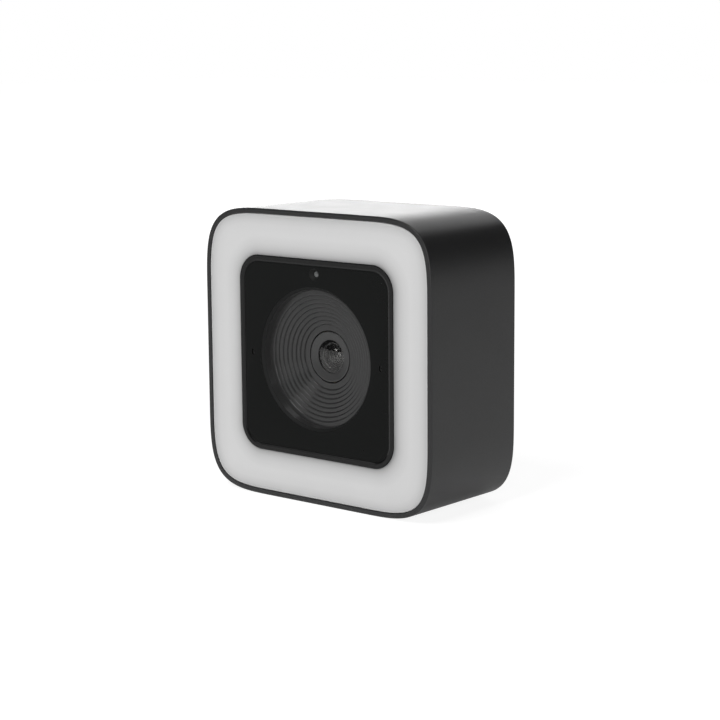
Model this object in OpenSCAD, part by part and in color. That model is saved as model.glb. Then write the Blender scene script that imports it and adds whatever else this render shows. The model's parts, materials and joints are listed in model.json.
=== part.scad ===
// Square webcam with a light ring around a stepped lens recess. The front looks
// towards -Y, the base stands on z = 0, and the origin is under the middle.
// Inside, an autofocus lens slides along the optical axis on two leaf springs.

/* [Body] */
// Width of the housing, side to side
body_w = 60; // [58:0.2:70]
// Height of the housing
body_h = 59.8; // [58:0.2:70]
// Depth of the housing, front to back
body_d = 27.4; // [27:0.2:34]
// Length of each side that a corner's curve takes up
corner_reach = 18.6; // [14:0.2:22]
// Squareness of the corner curve, where 2 is a circle
corner_power = 4; // [2.6:0.1:5]
// Wall of the housing
wall = 1.8; // [1.4:0.1:2.2]
// Bevel round the front and back edges of the housing
edge_bevel = 0.25; // [0.1:0.05:0.5]
// Width of the housing's rim in front of the wall
rim_w = 1.06; // [0.8:0.02:1.3]
// Thickness of the rear cover
cover_t = 1.8; // [1.4:0.1:2.4]
// Width of the housing's lip round the rear cover
rear_rim_w = 1.2; // [0.8:0.1:1.4]

/* [Light ring] */
// Depth of the diffuser's face behind the rim
diffuser_recess = 0.2; // [0:0.05:0.5]
// Thickness of the diffuser
diffuser_t = 1.8; // [1.2:0.1:2.4]
// Depth of the white reflector tray
reflector_h = 5.1; // [4.6:0.1:6]
// Wall and floor of the reflector tray
reflector_t = 0.7; // [0.5:0.05:0.9]
// Thickness of the light board
light_board_t = 1.2; // [0.8:0.1:1.6]
// Side of one light-emitting diode
led_w = 2.8; // [2:0.1:3.2]
// Height of one light-emitting diode
led_h = 0.7; // [0.5:0.05:0.8]
// Distance between neighbouring diodes along a side
led_pitch = 8.1; // [7:0.1:8.6]

/* [Front panel] */
// Width of the black panel's frame
panel_w = 40.8; // [39:0.2:43]
// Height of the black panel's frame
panel_h = 40.5; // [39:0.2:43]
// Corner radius of the frame
panel_r = 5.2; // [4:0.1:7]
// Wall of the frame
frame_w = 1.2; // [1:0.1:1.4]
// Depth of the frame's face behind the rim
frame_recess = 0.1; // [0:0.05:0.4]
// Depth of the panel's face behind the frame
panel_recess = 0.15; // [0.05:0.05:0.4]
// Thickness of the panel
panel_t = 1.6; // [1.2:0.1:2]
// Bevel round the panel's large hole
mouth_bevel = 0.52; // [0.3:0.02:0.7]
// Radius of the panel's large hole behind its bevel
mouth_r = 14.15; // [13.9:0.05:14.4]
// Width of each microphone slot
mic_slot_w = 0.75; // [0.6:0.05:1]
// Height of each microphone slot
mic_slot_h = 1.25; // [1:0.05:1.6]
// Distance of each microphone from the optical axis
mic_x = 17.1; // [16.8:0.05:17.2]
// Height of the status light above the optical axis
status_z = 17.3; // [16.8:0.05:17.4]

/* [Lens recess] */
// Number of steps down the recess
step_count = 9; // [6:1:12]
// Radius of the widest step
step_top_r = 13.9; // [13.4:0.1:14.1]
// Radius of the narrowest step
step_floor_r = 5.9; // [5.8:0.05:6.4]
// Depth of the steps behind the panel
step_depth = 2.95; // [2.2:0.05:3.2]
// Radius of the hole that the lens barrel shows through
cone_bore_r = 5.4; // [5.35:0.05:5.5]
// Wall behind the steps
cone_t = 1; // [0.8:0.1:1.2]

/* [Lens] */
// Radius of the barrel's head
head_r = 5.2; // [5:0.05:5.3]
// Length of the barrel's head
head_h = 2; // [1.4:0.1:2.2]
// Radius of the barrel behind its head
barrel_r = 4.4; // [4.3:0.05:4.6]
// Length of the whole barrel
barrel_h = 9.8; // [9.2:0.1:10.2]
// Radius of the glass that shows
pupil_r = 3.44; // [3:0.02:3.6]
// Radius of the glass elements
glass_r = 3.9; // [3.8:0.02:3.95]
// Travel of the focus, forwards
focus_travel = 0.3; // [0.2:0.05:0.35]

/* [Sockets] */
// Radius of the bore of the tripod bush
thread_r = 3.2; // [2.6:0.05:3.3]
// Depth of the bore of the tripod bush
thread_h = 6.5; // [5:0.1:7]
// Outer radius of the tripod bush
bush_r = 4; // [3.9:0.05:4.2]
// Height of the tripod bush
bush_h = 8; // [7.6:0.1:9]
// Width of the charging and data socket's shell
usb_w = 8.94; // [8.9:0.02:9]
// Height of that shell
usb_h = 3.16; // [3.12:0.02:3.2]
// Distance of the socket below the optical axis
usb_drop = 14; // [12:0.5:18]
// Width of the recess for the plug's grip
grip_w = 12.8; // [12.4:0.1:14]
// Height of the recess for the plug's grip
grip_h = 7; // [6.6:0.1:8]
// Depth of the recess for the plug's grip
grip_recess = 1; // [0.6:0.1:1.1]

/* [Hidden] */
$fn = 96;

// One overrun for every cut
overrun = 0.5;
// Gap round a part that drops into its seat
seat_gap = 0.05;
// Gap between a board or frame and the housing
frame_gap = 0.15;
// Gap round parts that must not touch
free_gap = 0.4;
// Gap between a screw and its hole
screw_gap = 0.03;
// Gap between lens parts and their bores
lens_gap = 0.02;
// Corner steps of the squircle and of small arcs
corner_steps = 14;
arc_steps = 8;

// Depths of the layers, counted from the rim
diffuser_back = diffuser_recess + diffuser_t;
reflector_back = diffuser_back + reflector_h;
light_board_back = reflector_back + light_board_t;
chassis_t = 1.6;
chassis_back = light_board_back + chassis_t;
panel_front = frame_recess + panel_recess;
panel_back = panel_front + panel_t;
cover_front = body_d - cover_t;

// Housing: screw bosses in the corners and the pad over the tripod bush
boss_r = 3.2;
boss_in = 6.1;
boss_x = body_w/2 - boss_in;
boss_z = body_h/2 - boss_in;
boss_hole_h = 5.4;
pad_wall = 1.25;
pad_roof = 0.9;
bush_flange_r = 4.6;
bush_flange_t = 0.6;
bush_grooves = 3;
bush_groove_h = 0.7;
bush_groove_depth = 0.3;
bush_depth = light_board_back + frame_gap + pad_wall + bush_r;

// Screws: radius of shank, radius of head, height of head
large_shank_r = 0.95;
large_head_r = 1.9;
large_head_h = 1;
small_shank_r = 0.65;
small_head_r = 1.3;
small_head_h = 0.7;
cross_w = 0.4;
cross_depth_share = 0.55;
cross_reach_share = 1.25;
cover_screw_h = 6;
chassis_screw_h = 5;
panel_screw_h = 5;
light_screw_h = 2.5;
front_screw_h = 2.6;
sensor_screw_h = 3.6;
main_screw_h = 4;
hole_spare = 0.6;

// Rear cover: ridge that enters the housing, and the slot for the socket
ridge_h = 0.8;
ridge_w = 0.8;
socket_gap = 0.18;

// Light ring: middle line of the band, corner diodes and board screws
band_x = (panel_w/2 + body_w/2 - wall)/2;
band_z = (panel_h/2 + body_h/2 - wall)/2;
side_leds = 2;
corner_led_share = 0.92;
led_window_gap = 0.3;
led_lens_share = 0.36;
led_lens_depth = 0.2;
light_screw_pitch_share = 1.5;

// Front panel: ledge of its frame, corner posts, side posts and status light dish
ledge_w = 0.6;
ledge_t = 0.8;
post_r = 2.2;
post_in = 2.6;
post_x = panel_w/2 - frame_w - post_in;
post_z = panel_h/2 - frame_w - post_in;
side_post_r = 1.7;
side_post_in = 1.6;
side_post_x = panel_w/2 - frame_w - side_post_in;
side_post_z = 8.6;
dish_r = 1.25;
dish_depth = 0.6;
pipe_r = 0.58;
pipe_collar_r = 1;

// Front board with the microphones and the status light
front_board_front = 5;
front_board_t = 0.8;
front_board_back = front_board_front + front_board_t;
front_arm = 12.2;
front_hole_r = 10.4;
front_board_gap = 0.4;
mic_w = 2.65;
mic_l = 3.5;
mic_h = 1;
boot_r = 1.38;
boot_nose_recess = 0.35;
sound_hole_r = 0.2;
status_w = 1.6;
status_l = 0.8;
status_h = 0.6;

// Ribbon cables and their sockets
ribbon_t = 0.2;
light_ribbon_w = 8;
light_ribbon_in = 3.5;
light_ribbon_z = body_h/2 - wall - light_ribbon_in;
front_ribbon_w = 6;
front_ribbon_in = 5.55;
front_ribbon_z = -(panel_h/2 - frame_w - front_ribbon_in);
ribbon_socket_h = 1;
ribbon_socket_d = 2.4;
ribbon_socket_over = 1;

// Recess behind the panel
step_pitch = (step_top_r - step_floor_r)/step_count;
step_rise = step_depth/step_count;
mouth_land = 0.05;
lip_front = mouth_bevel + mouth_land;
lip_w = 0.75;
lip_r = mouth_r + lip_w;
flange_w = 0.95;
flange_r = lip_r + flange_w;
collar_t = 1.2;
recess_floor = panel_back + step_depth;

// Focus drive, counted in depth from the rim
yoke_w = 17;
yoke_t = 0.4;
yoke_front = recess_floor + 2.6;
yoke_hole_r = 5.7;
spring_t = 0.1;
carrier_front = yoke_front + 1;
carrier_h = 4.6;
carrier_back = carrier_front + carrier_h;
carrier_t = 1.05;
flange_h = 0.8;
coil_r = 6.3;
magnet_gap = 0.35;
magnet_l = 9;
holder_front = carrier_back + spring_t;
holder_h = 4.1;
holder_back = holder_front + holder_h;
holder_hole_r = 4.7;
filter_w = 9;
filter_t = 0.3;
filter_depth = 2.3;
sensor_w = 8.6;
sensor_l = 7.4;
sensor_h = 0.9;
sensor_room = 10.4;
spring_ring_w = 0.9;
spring_frame_w = 0.9;
spring_arm_w = 0.35;
spring_arm_r = 6.6;

// Barrel: slope of its face, seat of the glass and the stack of elements
barrel_front = recess_floor;
face_slope = 0.37;
face_edge = 0.15;
glass_front = 0.55;
front_glass_t = 1.2;
front_dome_r = 14;
front_bowl_r = 3.6;
front_bowl_rim_r = 2.4;
spacer_t = 1.2;
spacer_hole_r = 2.7;
middle_glass_t = 1.5;
middle_dome_r = 6;
middle_dome_rim_r = 2.4;
stop_t = 0.2;
stop_hole_r = 1.3;
inner_glass_t = 1.5;
rear_spacer_t = 0.8;
rear_glass_t = 1.2;
ring_t = 0.9;
ring_hole_r = 3;
ring_slot_w = 0.8;
front_glass_back = glass_front + front_glass_t;
middle_glass_front = front_glass_back + spacer_t;
stop_front = middle_glass_front + middle_glass_t;
inner_glass_front = stop_front + stop_t;
rear_spacer_front = inner_glass_front + inner_glass_t;
rear_glass_front = rear_spacer_front + rear_spacer_t;
ring_front = rear_glass_front + rear_glass_t;

// Sensor board and its two screws
sensor_board_w = 28;
sensor_board_h = 19;
sensor_board_r = 2;
sensor_board_t = 0.8;
sensor_board_back = holder_back + sensor_board_t;
sensor_post_r = 1.9;
sensor_post_x = 11.9;
plug_w = 8;
plug_l = 2.6;
plug_step = 0.6;

// Main board and what it carries
board_place_share = 0.3;
main_board_front = sensor_board_back + board_place_share*(cover_front - sensor_board_back);
plug_h = (main_board_front - sensor_board_back)/2;
main_board_t = 1;
main_board_back = main_board_front + main_board_t;
main_board_gap = 0.6;
main_post_x = 19;
main_post_z = 12.5;
chip_w = 12;
chip_h = 1.2;
chip_x = -9;
chip_z = 8;
pad_t = 1;
memory_w = 8;
memory_l = 10;
memory_h = 1;
memory_x = 8;
coil_part_w = 4;
coil_part_h = 1.8;
coil_part_pitch = 5;
coil_part_x = 12;
usb_wall = 0.3;
usb_mouth = body_d - grip_recess;
tongue_w = 6.7;
tongue_t = 0.7;
tongue_base_h = 1;
tongue_set_back = 0.8;

// Chassis: opening for the focus drive and the rib round it
opening_w = 18.4;
opening_r = 1.5;
rib_t = 1.2;
rib_h = 1.5;

// Corner curve: each corner is a quarter of a superellipse between straight
// sides, moved inwards along its own normal by inset
function corner_point(u, inset) =
    let (c = pow(cos(u), 2/corner_power),
         s = pow(sin(u), 2/corner_power),
         nc = pow(c, corner_power - 1),
         ns = pow(s, corner_power - 1),
         size = norm([nc, ns]))
    [body_w/2 - corner_reach + corner_reach*c - inset*nc/size,
     body_h/2 - corner_reach + corner_reach*s - inset*ns/size];

function body_points(inset) = [
    for (side = [0:3]) for (i = [0:corner_steps])
        let (t = 90*i/corner_steps,
             p = corner_point(side % 2 == 0 ? t : 90 - t, inset))
        [(side == 0 || side == 3 ? 1 : -1)*p.x, (side < 2 ? 1 : -1)*p.y]
];

// Places children drawn in x and z, with their height running backwards from depth d
module face(d) {
    translate([0, d - bush_depth, body_h/2])
        rotate([90, 0, 0])
            mirror([0, 0, 1])
                children();
}

module slab(front, back) {
    face(front)
        linear_extrude(back - front)
            children();
}

module cut_slab(front, back) {
    slab(front - overrun, back + overrun)
        children();
}

module body_outline(inset = 0) {
    polygon(body_points(inset));
}

module rounded(w, h, r) {
    square([w - 2*r, h], center = true);
    square([w, h - 2*r], center = true);
    for (x = [-1, 1], y = [-1, 1])
        translate([x*(w/2 - r), y*(h/2 - r)])
            circle(r);
}

module stadium(w, h) {
    square([w - h, h], center = true);
    for (x = [-1, 1])
        translate([x*(w - h)/2, 0])
            circle(h/2);
}

module at_corners(x, y) {
    for (sx = [-1, 1], sy = [-1, 1])
        translate([sx*x, sy*y, 0])
            children();
}

module panel_outline(inset = 0) {
    rounded(panel_w - 2*inset, panel_h - 2*inset, panel_r - inset);
}

// Screws point along +z with the underside or face of the head at z = 0
module cross_slot(r, h) {
    translate([0, 0, -overrun])
        linear_extrude(h*cross_depth_share + overrun) {
            square([r*cross_reach_share, cross_w], center = true);
            square([cross_w, r*cross_reach_share], center = true);
        }
}

module sunk_screw(h) {
    difference() {
        union() {
            cylinder(r1 = large_head_r, r2 = large_shank_r, h = large_head_h);
            cylinder(r = large_shank_r, h = h);
        }
        cross_slot(large_head_r, large_head_h);
    }
}

module sunk_hole(h) {
    cylinder(r1 = large_head_r + screw_gap, r2 = large_shank_r + screw_gap, h = large_head_h);
    translate([0, 0, -overrun])
        cylinder(r = large_head_r + screw_gap, h = overrun);
    cylinder(r = large_shank_r + screw_gap, h = h);
}

module pan_screw(h) {
    difference() {
        union() {
            translate([0, 0, -small_head_h])
                cylinder(r = small_head_r, h = small_head_h);
            cylinder(r = small_shank_r, h = h);
        }
        translate([0, 0, -small_head_h])
            cross_slot(small_head_r, small_head_h);
    }
}

module pan_hole(h) {
    translate([0, 0, -overrun])
        cylinder(r = small_shank_r + screw_gap, h = h + overrun);
}

module from_back() {
    mirror([0, 0, 1])
        children();
}

// Outer form of the housing, bevelled at both ends
module body_block() {
    hull() {
        slab(0, edge_bevel/arc_steps)
            body_outline(edge_bevel);
        slab(edge_bevel, edge_bevel + edge_bevel/arc_steps)
            body_outline();
    }
    slab(edge_bevel, body_d - edge_bevel)
        body_outline();
    hull() {
        slab(body_d - edge_bevel - edge_bevel/arc_steps, body_d - edge_bevel)
            body_outline();
        slab(body_d - edge_bevel/arc_steps, body_d)
            body_outline(edge_bevel);
    }
}

module housing() {
    color([0.13, 0.13, 0.135])
    difference() {
        union() {
            difference() {
                body_block();
                cut_slab(0, diffuser_back - overrun)
                    body_outline(rim_w);
                cut_slab(0, body_d)
                    body_outline(wall);
                cut_slab(cover_front + overrun, body_d)
                    body_outline(rear_rim_w);
            }
            slab(chassis_back, cover_front)
                intersection() {
                    body_outline(wall/2);
                    at_corners(boss_x, boss_z)
                        circle(boss_r);
                }
            translate([0, 0, wall/2])
                cylinder(r = bush_r + pad_wall, h = bush_h + pad_roof - wall/2);
        }
        face(chassis_back)
            at_corners(boss_x, boss_z)
                translate([0, 0, -overrun])
                    cylinder(r = large_shank_r + screw_gap, h = boss_hole_h + overrun);
        face(cover_front)
            from_back()
                at_corners(boss_x, boss_z)
                    translate([0, 0, -overrun])
                        cylinder(r = large_shank_r + screw_gap, h = boss_hole_h + overrun);
        translate([0, 0, -overrun])
            cylinder(r = bush_r + lens_gap, h = bush_h + overrun);
        translate([0, 0, -overrun])
            cylinder(r = bush_flange_r + lens_gap, h = bush_flange_t + overrun);
    }
}

module tripod_bush() {
    color([0.78, 0.62, 0.32])
    difference() {
        union() {
            cylinder(r = bush_flange_r, h = bush_flange_t);
            cylinder(r = bush_r, h = bush_h);
        }
        translate([0, 0, -overrun])
            cylinder(r = thread_r, h = thread_h + overrun);
        for (i = [1:bush_grooves])
            translate([0, 0, bush_flange_t + i*(bush_h - bush_flange_t)/(bush_grooves + 1)])
                difference() {
                    cylinder(r = bush_r + overrun, h = bush_groove_h, center = true);
                    cylinder(r = bush_r - bush_groove_depth, h = bush_h, center = true);
                }
    }
}

module rear_cover() {
    color([0.14, 0.14, 0.145])
    difference() {
        union() {
            slab(cover_front, body_d)
                body_outline(rear_rim_w + seat_gap);
            slab(cover_front - ridge_h, cover_front)
                difference() {
                    body_outline(wall + frame_gap);
                    body_outline(wall + frame_gap + ridge_w);
                    at_corners(boss_x, boss_z)
                        circle(boss_r + free_gap);
                }
            slab(main_board_back + chip_h + pad_t, cover_front)
                translate([chip_x, chip_z])
                    square([chip_w, chip_w], center = true);
        }
        face(body_d)
            from_back()
                at_corners(boss_x, boss_z)
                    sunk_hole(cover_t + overrun);
        cut_slab(cover_front, body_d)
            translate([0, -usb_drop])
                stadium(usb_w + 2*socket_gap, usb_h + 2*socket_gap);
        cut_slab(usb_mouth + overrun, body_d)
            translate([0, -usb_drop])
                rounded(grip_w, grip_h, grip_h/3);
    }
}

module cover_screws() {
    color([0.2, 0.2, 0.2])
    face(body_d)
        from_back()
            at_corners(boss_x, boss_z)
                sunk_screw(cover_screw_h);
}

module light_diffuser() {
    color([0.8, 0.8, 0.8])
    slab(diffuser_recess, diffuser_back)
        difference() {
            body_outline(rim_w + seat_gap);
            panel_outline(-seat_gap);
        }
}

// Places children at each diode: along the four sides and in the corners
module at_leds() {
    for (i = [-side_leds:side_leds], s = [-1, 1]) {
        translate([i*led_pitch, s*band_z])
            children();
        translate([s*band_x, i*led_pitch])
            children();
    }
    at_corners(band_x*corner_led_share, band_z*corner_led_share)
        children();
}

module at_light_screws() {
    at_corners(band_x, led_pitch*light_screw_pitch_share)
        children();
}

module light_reflector() {
    color([0.93, 0.93, 0.92])
    difference() {
        union() {
            slab(diffuser_back, reflector_back)
                difference() {
                    body_outline(wall + frame_gap);
                    body_outline(wall + frame_gap + reflector_t);
                }
            slab(diffuser_back, reflector_back)
                difference() {
                    panel_outline(-frame_gap - reflector_t);
                    panel_outline(-frame_gap);
                }
            slab(reflector_back - reflector_t, reflector_back)
                difference() {
                    body_outline(wall + frame_gap);
                    panel_outline(-frame_gap);
                }
        }
        cut_slab(reflector_back - reflector_t, reflector_back) {
            at_leds()
                square(led_w + 2*led_window_gap, center = true);
            at_light_screws()
                circle(small_head_r + led_window_gap);
        }
    }
}

module light_leds() {
    color([0.95, 0.9, 0.6])
    face(reflector_back - led_h)
        difference() {
            linear_extrude(led_h)
                at_leds()
                    square(led_w, center = true);
            translate([0, 0, -overrun])
                linear_extrude(led_lens_depth + overrun)
                    at_leds()
                        circle(led_w*led_lens_share);
        }
}

module light_board() {
    color([0.9, 0.9, 0.88])
    difference() {
        slab(reflector_back, light_board_back)
            difference() {
                body_outline(wall + frame_gap);
                panel_outline(-frame_gap);
            }
        face(reflector_back)
            at_light_screws()
                pan_hole(light_board_t + overrun);
    }
}

module light_board_screws() {
    color([0.75, 0.75, 0.76])
    face(reflector_back)
        at_light_screws()
            pan_screw(light_screw_h);
}

module ribbon(front, back, w, z) {
    slab(front, back)
        translate([0, z])
            square([w, ribbon_t], center = true);
}

module ribbon_socket(front, w, z) {
    slab(front, front + ribbon_socket_h)
        translate([0, z])
            square([w + ribbon_socket_over, ribbon_socket_d], center = true);
}

module light_cable() {
    color([0.85, 0.5, 0.15])
    ribbon(light_board_back + ribbon_socket_h, main_board_front - ribbon_socket_h,
           light_ribbon_w, light_ribbon_z);
}

module light_connectors() {
    color([0.9, 0.88, 0.8]) {
        ribbon_socket(light_board_back, light_ribbon_w, light_ribbon_z);
        ribbon_socket(main_board_front - ribbon_socket_h, light_ribbon_w, light_ribbon_z);
    }
}

module front_board_cable() {
    color([0.85, 0.5, 0.15])
    ribbon(front_board_back + ribbon_socket_h, main_board_front - ribbon_socket_h,
           front_ribbon_w, front_ribbon_z);
}

module front_board_connectors() {
    color([0.9, 0.88, 0.8]) {
        ribbon_socket(front_board_back, front_ribbon_w, front_ribbon_z);
        ribbon_socket(main_board_front - ribbon_socket_h, front_ribbon_w, front_ribbon_z);
    }
}

module panel_frame() {
    color([0.16, 0.16, 0.16])
    difference() {
        union() {
            difference() {
                slab(frame_recess, light_board_back)
                    panel_outline();
                cut_slab(frame_recess, light_board_back)
                    panel_outline(frame_w);
            }
            slab(panel_back, panel_back + ledge_t)
                difference() {
                    panel_outline(frame_w/2);
                    panel_outline(frame_w + ledge_w);
                }
            slab(panel_back, light_board_back)
                intersection() {
                    panel_outline(frame_w/2);
                    at_corners(post_x, post_z)
                        circle(post_r);
                }
            slab(panel_back, front_board_front)
                intersection() {
                    panel_outline(frame_w/2);
                    at_corners(side_post_x, side_post_z)
                        circle(side_post_r);
                }
        }
        face(light_board_back)
            from_back()
                at_corners(post_x, post_z)
                    pan_hole(panel_screw_h - chassis_t + hole_spare);
        face(front_board_front)
            from_back()
                at_corners(side_post_x, side_post_z)
                    pan_hole(front_screw_h - front_board_t + hole_spare/2);
    }
}

module panel_screws() {
    color([0.3, 0.3, 0.3])
    face(chassis_back)
        from_back()
            at_corners(post_x, post_z)
                pan_screw(panel_screw_h);
}

module at_microphones() {
    for (s = [-1, 1])
        translate([s*mic_x, 0])
            children();
}

module microphone_slot(inset = 0) {
    rotate(90)
        stadium(mic_slot_h - 2*inset, mic_slot_w - 2*inset);
}

module front_panel() {
    color([0.11, 0.115, 0.11])
    difference() {
        slab(panel_front, panel_back)
            panel_outline(frame_w + seat_gap);
        face(panel_front)
            rotate_extrude()
                polygon([
                    [0, -overrun],
                    [mouth_r + mouth_bevel + overrun, -overrun],
                    [mouth_r, mouth_bevel],
                    [mouth_r, lip_front],
                    [lip_r + seat_gap, lip_front],
                    [lip_r + seat_gap, panel_t + overrun],
                    [0, panel_t + overrun]]);
        cut_slab(panel_front, panel_back)
            at_microphones()
                microphone_slot();
        face(panel_front)
            translate([0, status_z, 0]) {
                cylinder(r1 = dish_r, r2 = pipe_r + seat_gap, h = dish_depth);
                cylinder(r = pipe_r + seat_gap, h = panel_t + overrun);
            }
    }
}

// Stepped recess: a lip behind the panel's bevel, a riser and a tread for each step,
// then the bore and its collar
module lens_cone() {
    color([0.25, 0.25, 0.25])
    difference() {
        face(panel_back)
            rotate_extrude()
                polygon(concat(
                    [[lip_r, 0],
                     [lip_r, lip_front - panel_t],
                     [mouth_r, lip_front - panel_t],
                     [mouth_r, step_rise]],
                    [for (i = [1:step_count - 1], down = [0, 1])
                        [step_top_r - i*step_pitch, (i + down)*step_rise]],
                    [[cone_bore_r, step_depth],
                     [cone_bore_r, yoke_front - panel_back],
                     [cone_bore_r + collar_t, yoke_front - panel_back],
                     [cone_bore_r + collar_t, step_depth + cone_t],
                     [flange_r, cone_t],
                     [flange_r, 0]]));
        cut_slab(panel_back, front_board_front) {
            at_microphones()
                circle(boot_r + seat_gap);
            translate([0, status_z])
                circle(pipe_collar_r + seat_gap);
        }
    }
}

module status_light_pipe() {
    color([0.85, 0.88, 0.88])
    face(panel_front + dish_depth)
        translate([0, status_z, 0]) {
            cylinder(r = pipe_r, h = front_board_front - status_h - panel_front - dish_depth);
            translate([0, 0, panel_back - panel_front - dish_depth])
                cylinder(r = pipe_collar_r, h = ledge_t);
        }
}

module status_led() {
    color([0.92, 0.92, 0.85])
    slab(front_board_front - status_h, front_board_front)
        translate([0, status_z])
            square([status_w, status_l], center = true);
}

module microphone_boots() {
    color([0.08, 0.08, 0.08])
    difference() {
        union() {
            slab(panel_back, front_board_front - mic_h)
                at_microphones()
                    circle(boot_r);
            slab(panel_front + boot_nose_recess, panel_back)
                at_microphones()
                    microphone_slot(seat_gap);
        }
        cut_slab(panel_front + boot_nose_recess, front_board_front - mic_h)
            at_microphones()
                circle(sound_hole_r);
    }
}

module microphones() {
    color([0.8, 0.78, 0.7])
    difference() {
        slab(front_board_front - mic_h, front_board_front)
            at_microphones()
                square([mic_w, mic_l], center = true);
        slab(front_board_front - mic_h - overrun, front_board_front - mic_h/2)
            at_microphones()
                circle(sound_hole_r);
    }
}

module front_board() {
    color([0.1, 0.3, 0.18])
    difference() {
        slab(front_board_front, front_board_back)
            difference() {
                union() {
                    square([panel_w - 2*frame_w - 2*front_board_gap, 2*front_arm], center = true);
                    square([2*front_arm, panel_h - 2*frame_w - 2*front_board_gap], center = true);
                }
                circle(front_hole_r);
            }
        face(front_board_front)
            at_corners(side_post_x, side_post_z)
                pan_hole(front_board_t + overrun);
    }
}

module front_board_screws() {
    color([0.75, 0.75, 0.76])
    face(front_board_back)
        from_back()
            at_corners(side_post_x, side_post_z)
                pan_screw(front_screw_h);
}

// Inner frame: a plate on the housing's bosses, with posts for the boards
module chassis() {
    color([0.18, 0.18, 0.19])
    difference() {
        union() {
            slab(light_board_back, chassis_back)
                body_outline(wall + frame_gap);
            slab(chassis_back, chassis_back + rib_h)
                rounded(opening_w + 2*rib_t, opening_w + 2*rib_t, opening_r + rib_t);
            slab(chassis_back, main_board_front)
                at_corners(main_post_x, main_post_z)
                    circle(post_r);
            slab(chassis_back, holder_back)
                for (s = [-1, 1])
                    translate([s*sensor_post_x, 0])
                        circle(sensor_post_r);
        }
        cut_slab(light_board_back, chassis_back + rib_h) {
            rounded(opening_w, opening_w, opening_r);
            translate([0, light_ribbon_z])
                square([light_ribbon_w + ribbon_socket_over + 2*free_gap,
                        ribbon_socket_d + 2*free_gap], center = true);
            translate([0, front_ribbon_z])
                square([front_ribbon_w + 2*free_gap, ribbon_t + 2*free_gap], center = true);
            translate([0, -body_h/2])
                square([2*(bush_r + pad_wall + free_gap),
                        2*(bush_h + pad_roof + free_gap)], center = true);
        }
        face(light_board_back) {
            at_corners(boss_x, boss_z)
                sunk_hole(chassis_t + overrun);
            at_light_screws()
                pan_hole(chassis_t + overrun);
            at_corners(post_x, post_z)
                pan_hole(chassis_t + overrun);
        }
        face(main_board_front)
            from_back()
                at_corners(main_post_x, main_post_z)
                    pan_hole(main_screw_h - main_board_t + hole_spare);
        face(holder_back)
            from_back()
                for (s = [-1, 1])
                    translate([s*sensor_post_x, 0, 0])
                        pan_hole(sensor_screw_h - sensor_board_t + hole_spare);
    }
}

module chassis_screws() {
    color([0.75, 0.75, 0.76])
    face(light_board_back)
        at_corners(boss_x, boss_z)
            sunk_screw(chassis_screw_h);
}

// Barrel of the lens: sloped face round the pupil, one bore for the elements
module lens_barrel() {
    color([0.24, 0.24, 0.24])
    face(barrel_front)
        rotate_extrude()
            polygon([
                [head_r - face_edge, 0],
                [head_r, face_edge],
                [head_r, head_h],
                [barrel_r, head_h],
                [barrel_r, barrel_h],
                [glass_r + lens_gap, barrel_h],
                [glass_r + lens_gap, glass_front],
                [pupil_r, glass_front],
                [pupil_r, face_slope],
                [head_r - 2*face_edge, 0]]);
}

// Round block of glass between two depths behind the barrel's front
module glass_block(front, t) {
    face(barrel_front + front)
        cylinder(r = glass_r, h = t);
}

// Cap of a sphere of radius r that stands forward of depth d out to rim
module dome(d, r, rim) {
    face(barrel_front + d)
        intersection() {
            translate([0, 0, sqrt(r*r - rim*rim)])
                sphere(r);
            translate([0, 0, -r])
                cylinder(r = rim, h = r + lens_gap);
        }
}

module bowl(d, r, rim) {
    face(barrel_front + d)
        translate([0, 0, sqrt(r*r - rim*rim)])
            sphere(r);
}

module lens_front_element() {
    color([0.3, 0.34, 0.36])
    difference() {
        union() {
            glass_block(glass_front, front_glass_t);
            dome(glass_front, front_dome_r, pupil_r - lens_gap);
        }
        bowl(front_glass_back, front_bowl_r, front_bowl_rim_r);
    }
}

module lens_ring(front, t, hole_r) {
    face(barrel_front + front)
        linear_extrude(t)
            difference() {
                circle(glass_r);
                circle(hole_r);
            }
}

module lens_front_spacer() {
    color([0.05, 0.05, 0.05])
    lens_ring(front_glass_back, spacer_t, spacer_hole_r);
}

module lens_middle_element() {
    color([0.3, 0.34, 0.36]) {
        glass_block(middle_glass_front, middle_glass_t);
        dome(middle_glass_front, middle_dome_r, middle_dome_rim_r);
    }
}

module lens_stop() {
    color([0.05, 0.05, 0.05])
    lens_ring(stop_front, stop_t, stop_hole_r);
}

module lens_inner_element() {
    color([0.3, 0.34, 0.36])
    difference() {
        glass_block(inner_glass_front, inner_glass_t);
        bowl(rear_spacer_front, front_bowl_r, front_bowl_rim_r);
    }
}

module lens_rear_spacer() {
    color([0.05, 0.05, 0.05])
    lens_ring(rear_spacer_front, rear_spacer_t, spacer_hole_r);
}

module lens_rear_element() {
    color([0.3, 0.34, 0.36]) {
        glass_block(rear_glass_front, rear_glass_t);
        dome(rear_glass_front, middle_dome_r, middle_dome_rim_r);
    }
}

module lens_retaining_ring() {
    color([0.1, 0.1, 0.1])
    difference() {
        lens_ring(ring_front, ring_t, ring_hole_r);
        face(barrel_front + ring_front + ring_t/2)
            linear_extrude(ring_t)
                square([2*glass_r + overrun, ring_slot_w], center = true);
    }
}

// Carrier of the lens, a bobbin whose waist holds the coil
module focus_carrier() {
    color([0.1, 0.1, 0.1])
    face(carrier_front)
        rotate_extrude()
            polygon([
                [barrel_r + lens_gap, 0],
                [coil_r, 0],
                [coil_r, flange_h],
                [barrel_r + carrier_t, flange_h],
                [barrel_r + carrier_t, carrier_h - flange_h],
                [coil_r, carrier_h - flange_h],
                [coil_r, carrier_h],
                [barrel_r + lens_gap, carrier_h]]);
}

module focus_coil() {
    color([0.72, 0.4, 0.2])
    slab(carrier_front + flange_h, carrier_back - flange_h)
        difference() {
            circle(coil_r);
            circle(barrel_r + carrier_t + lens_gap);
        }
}

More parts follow.
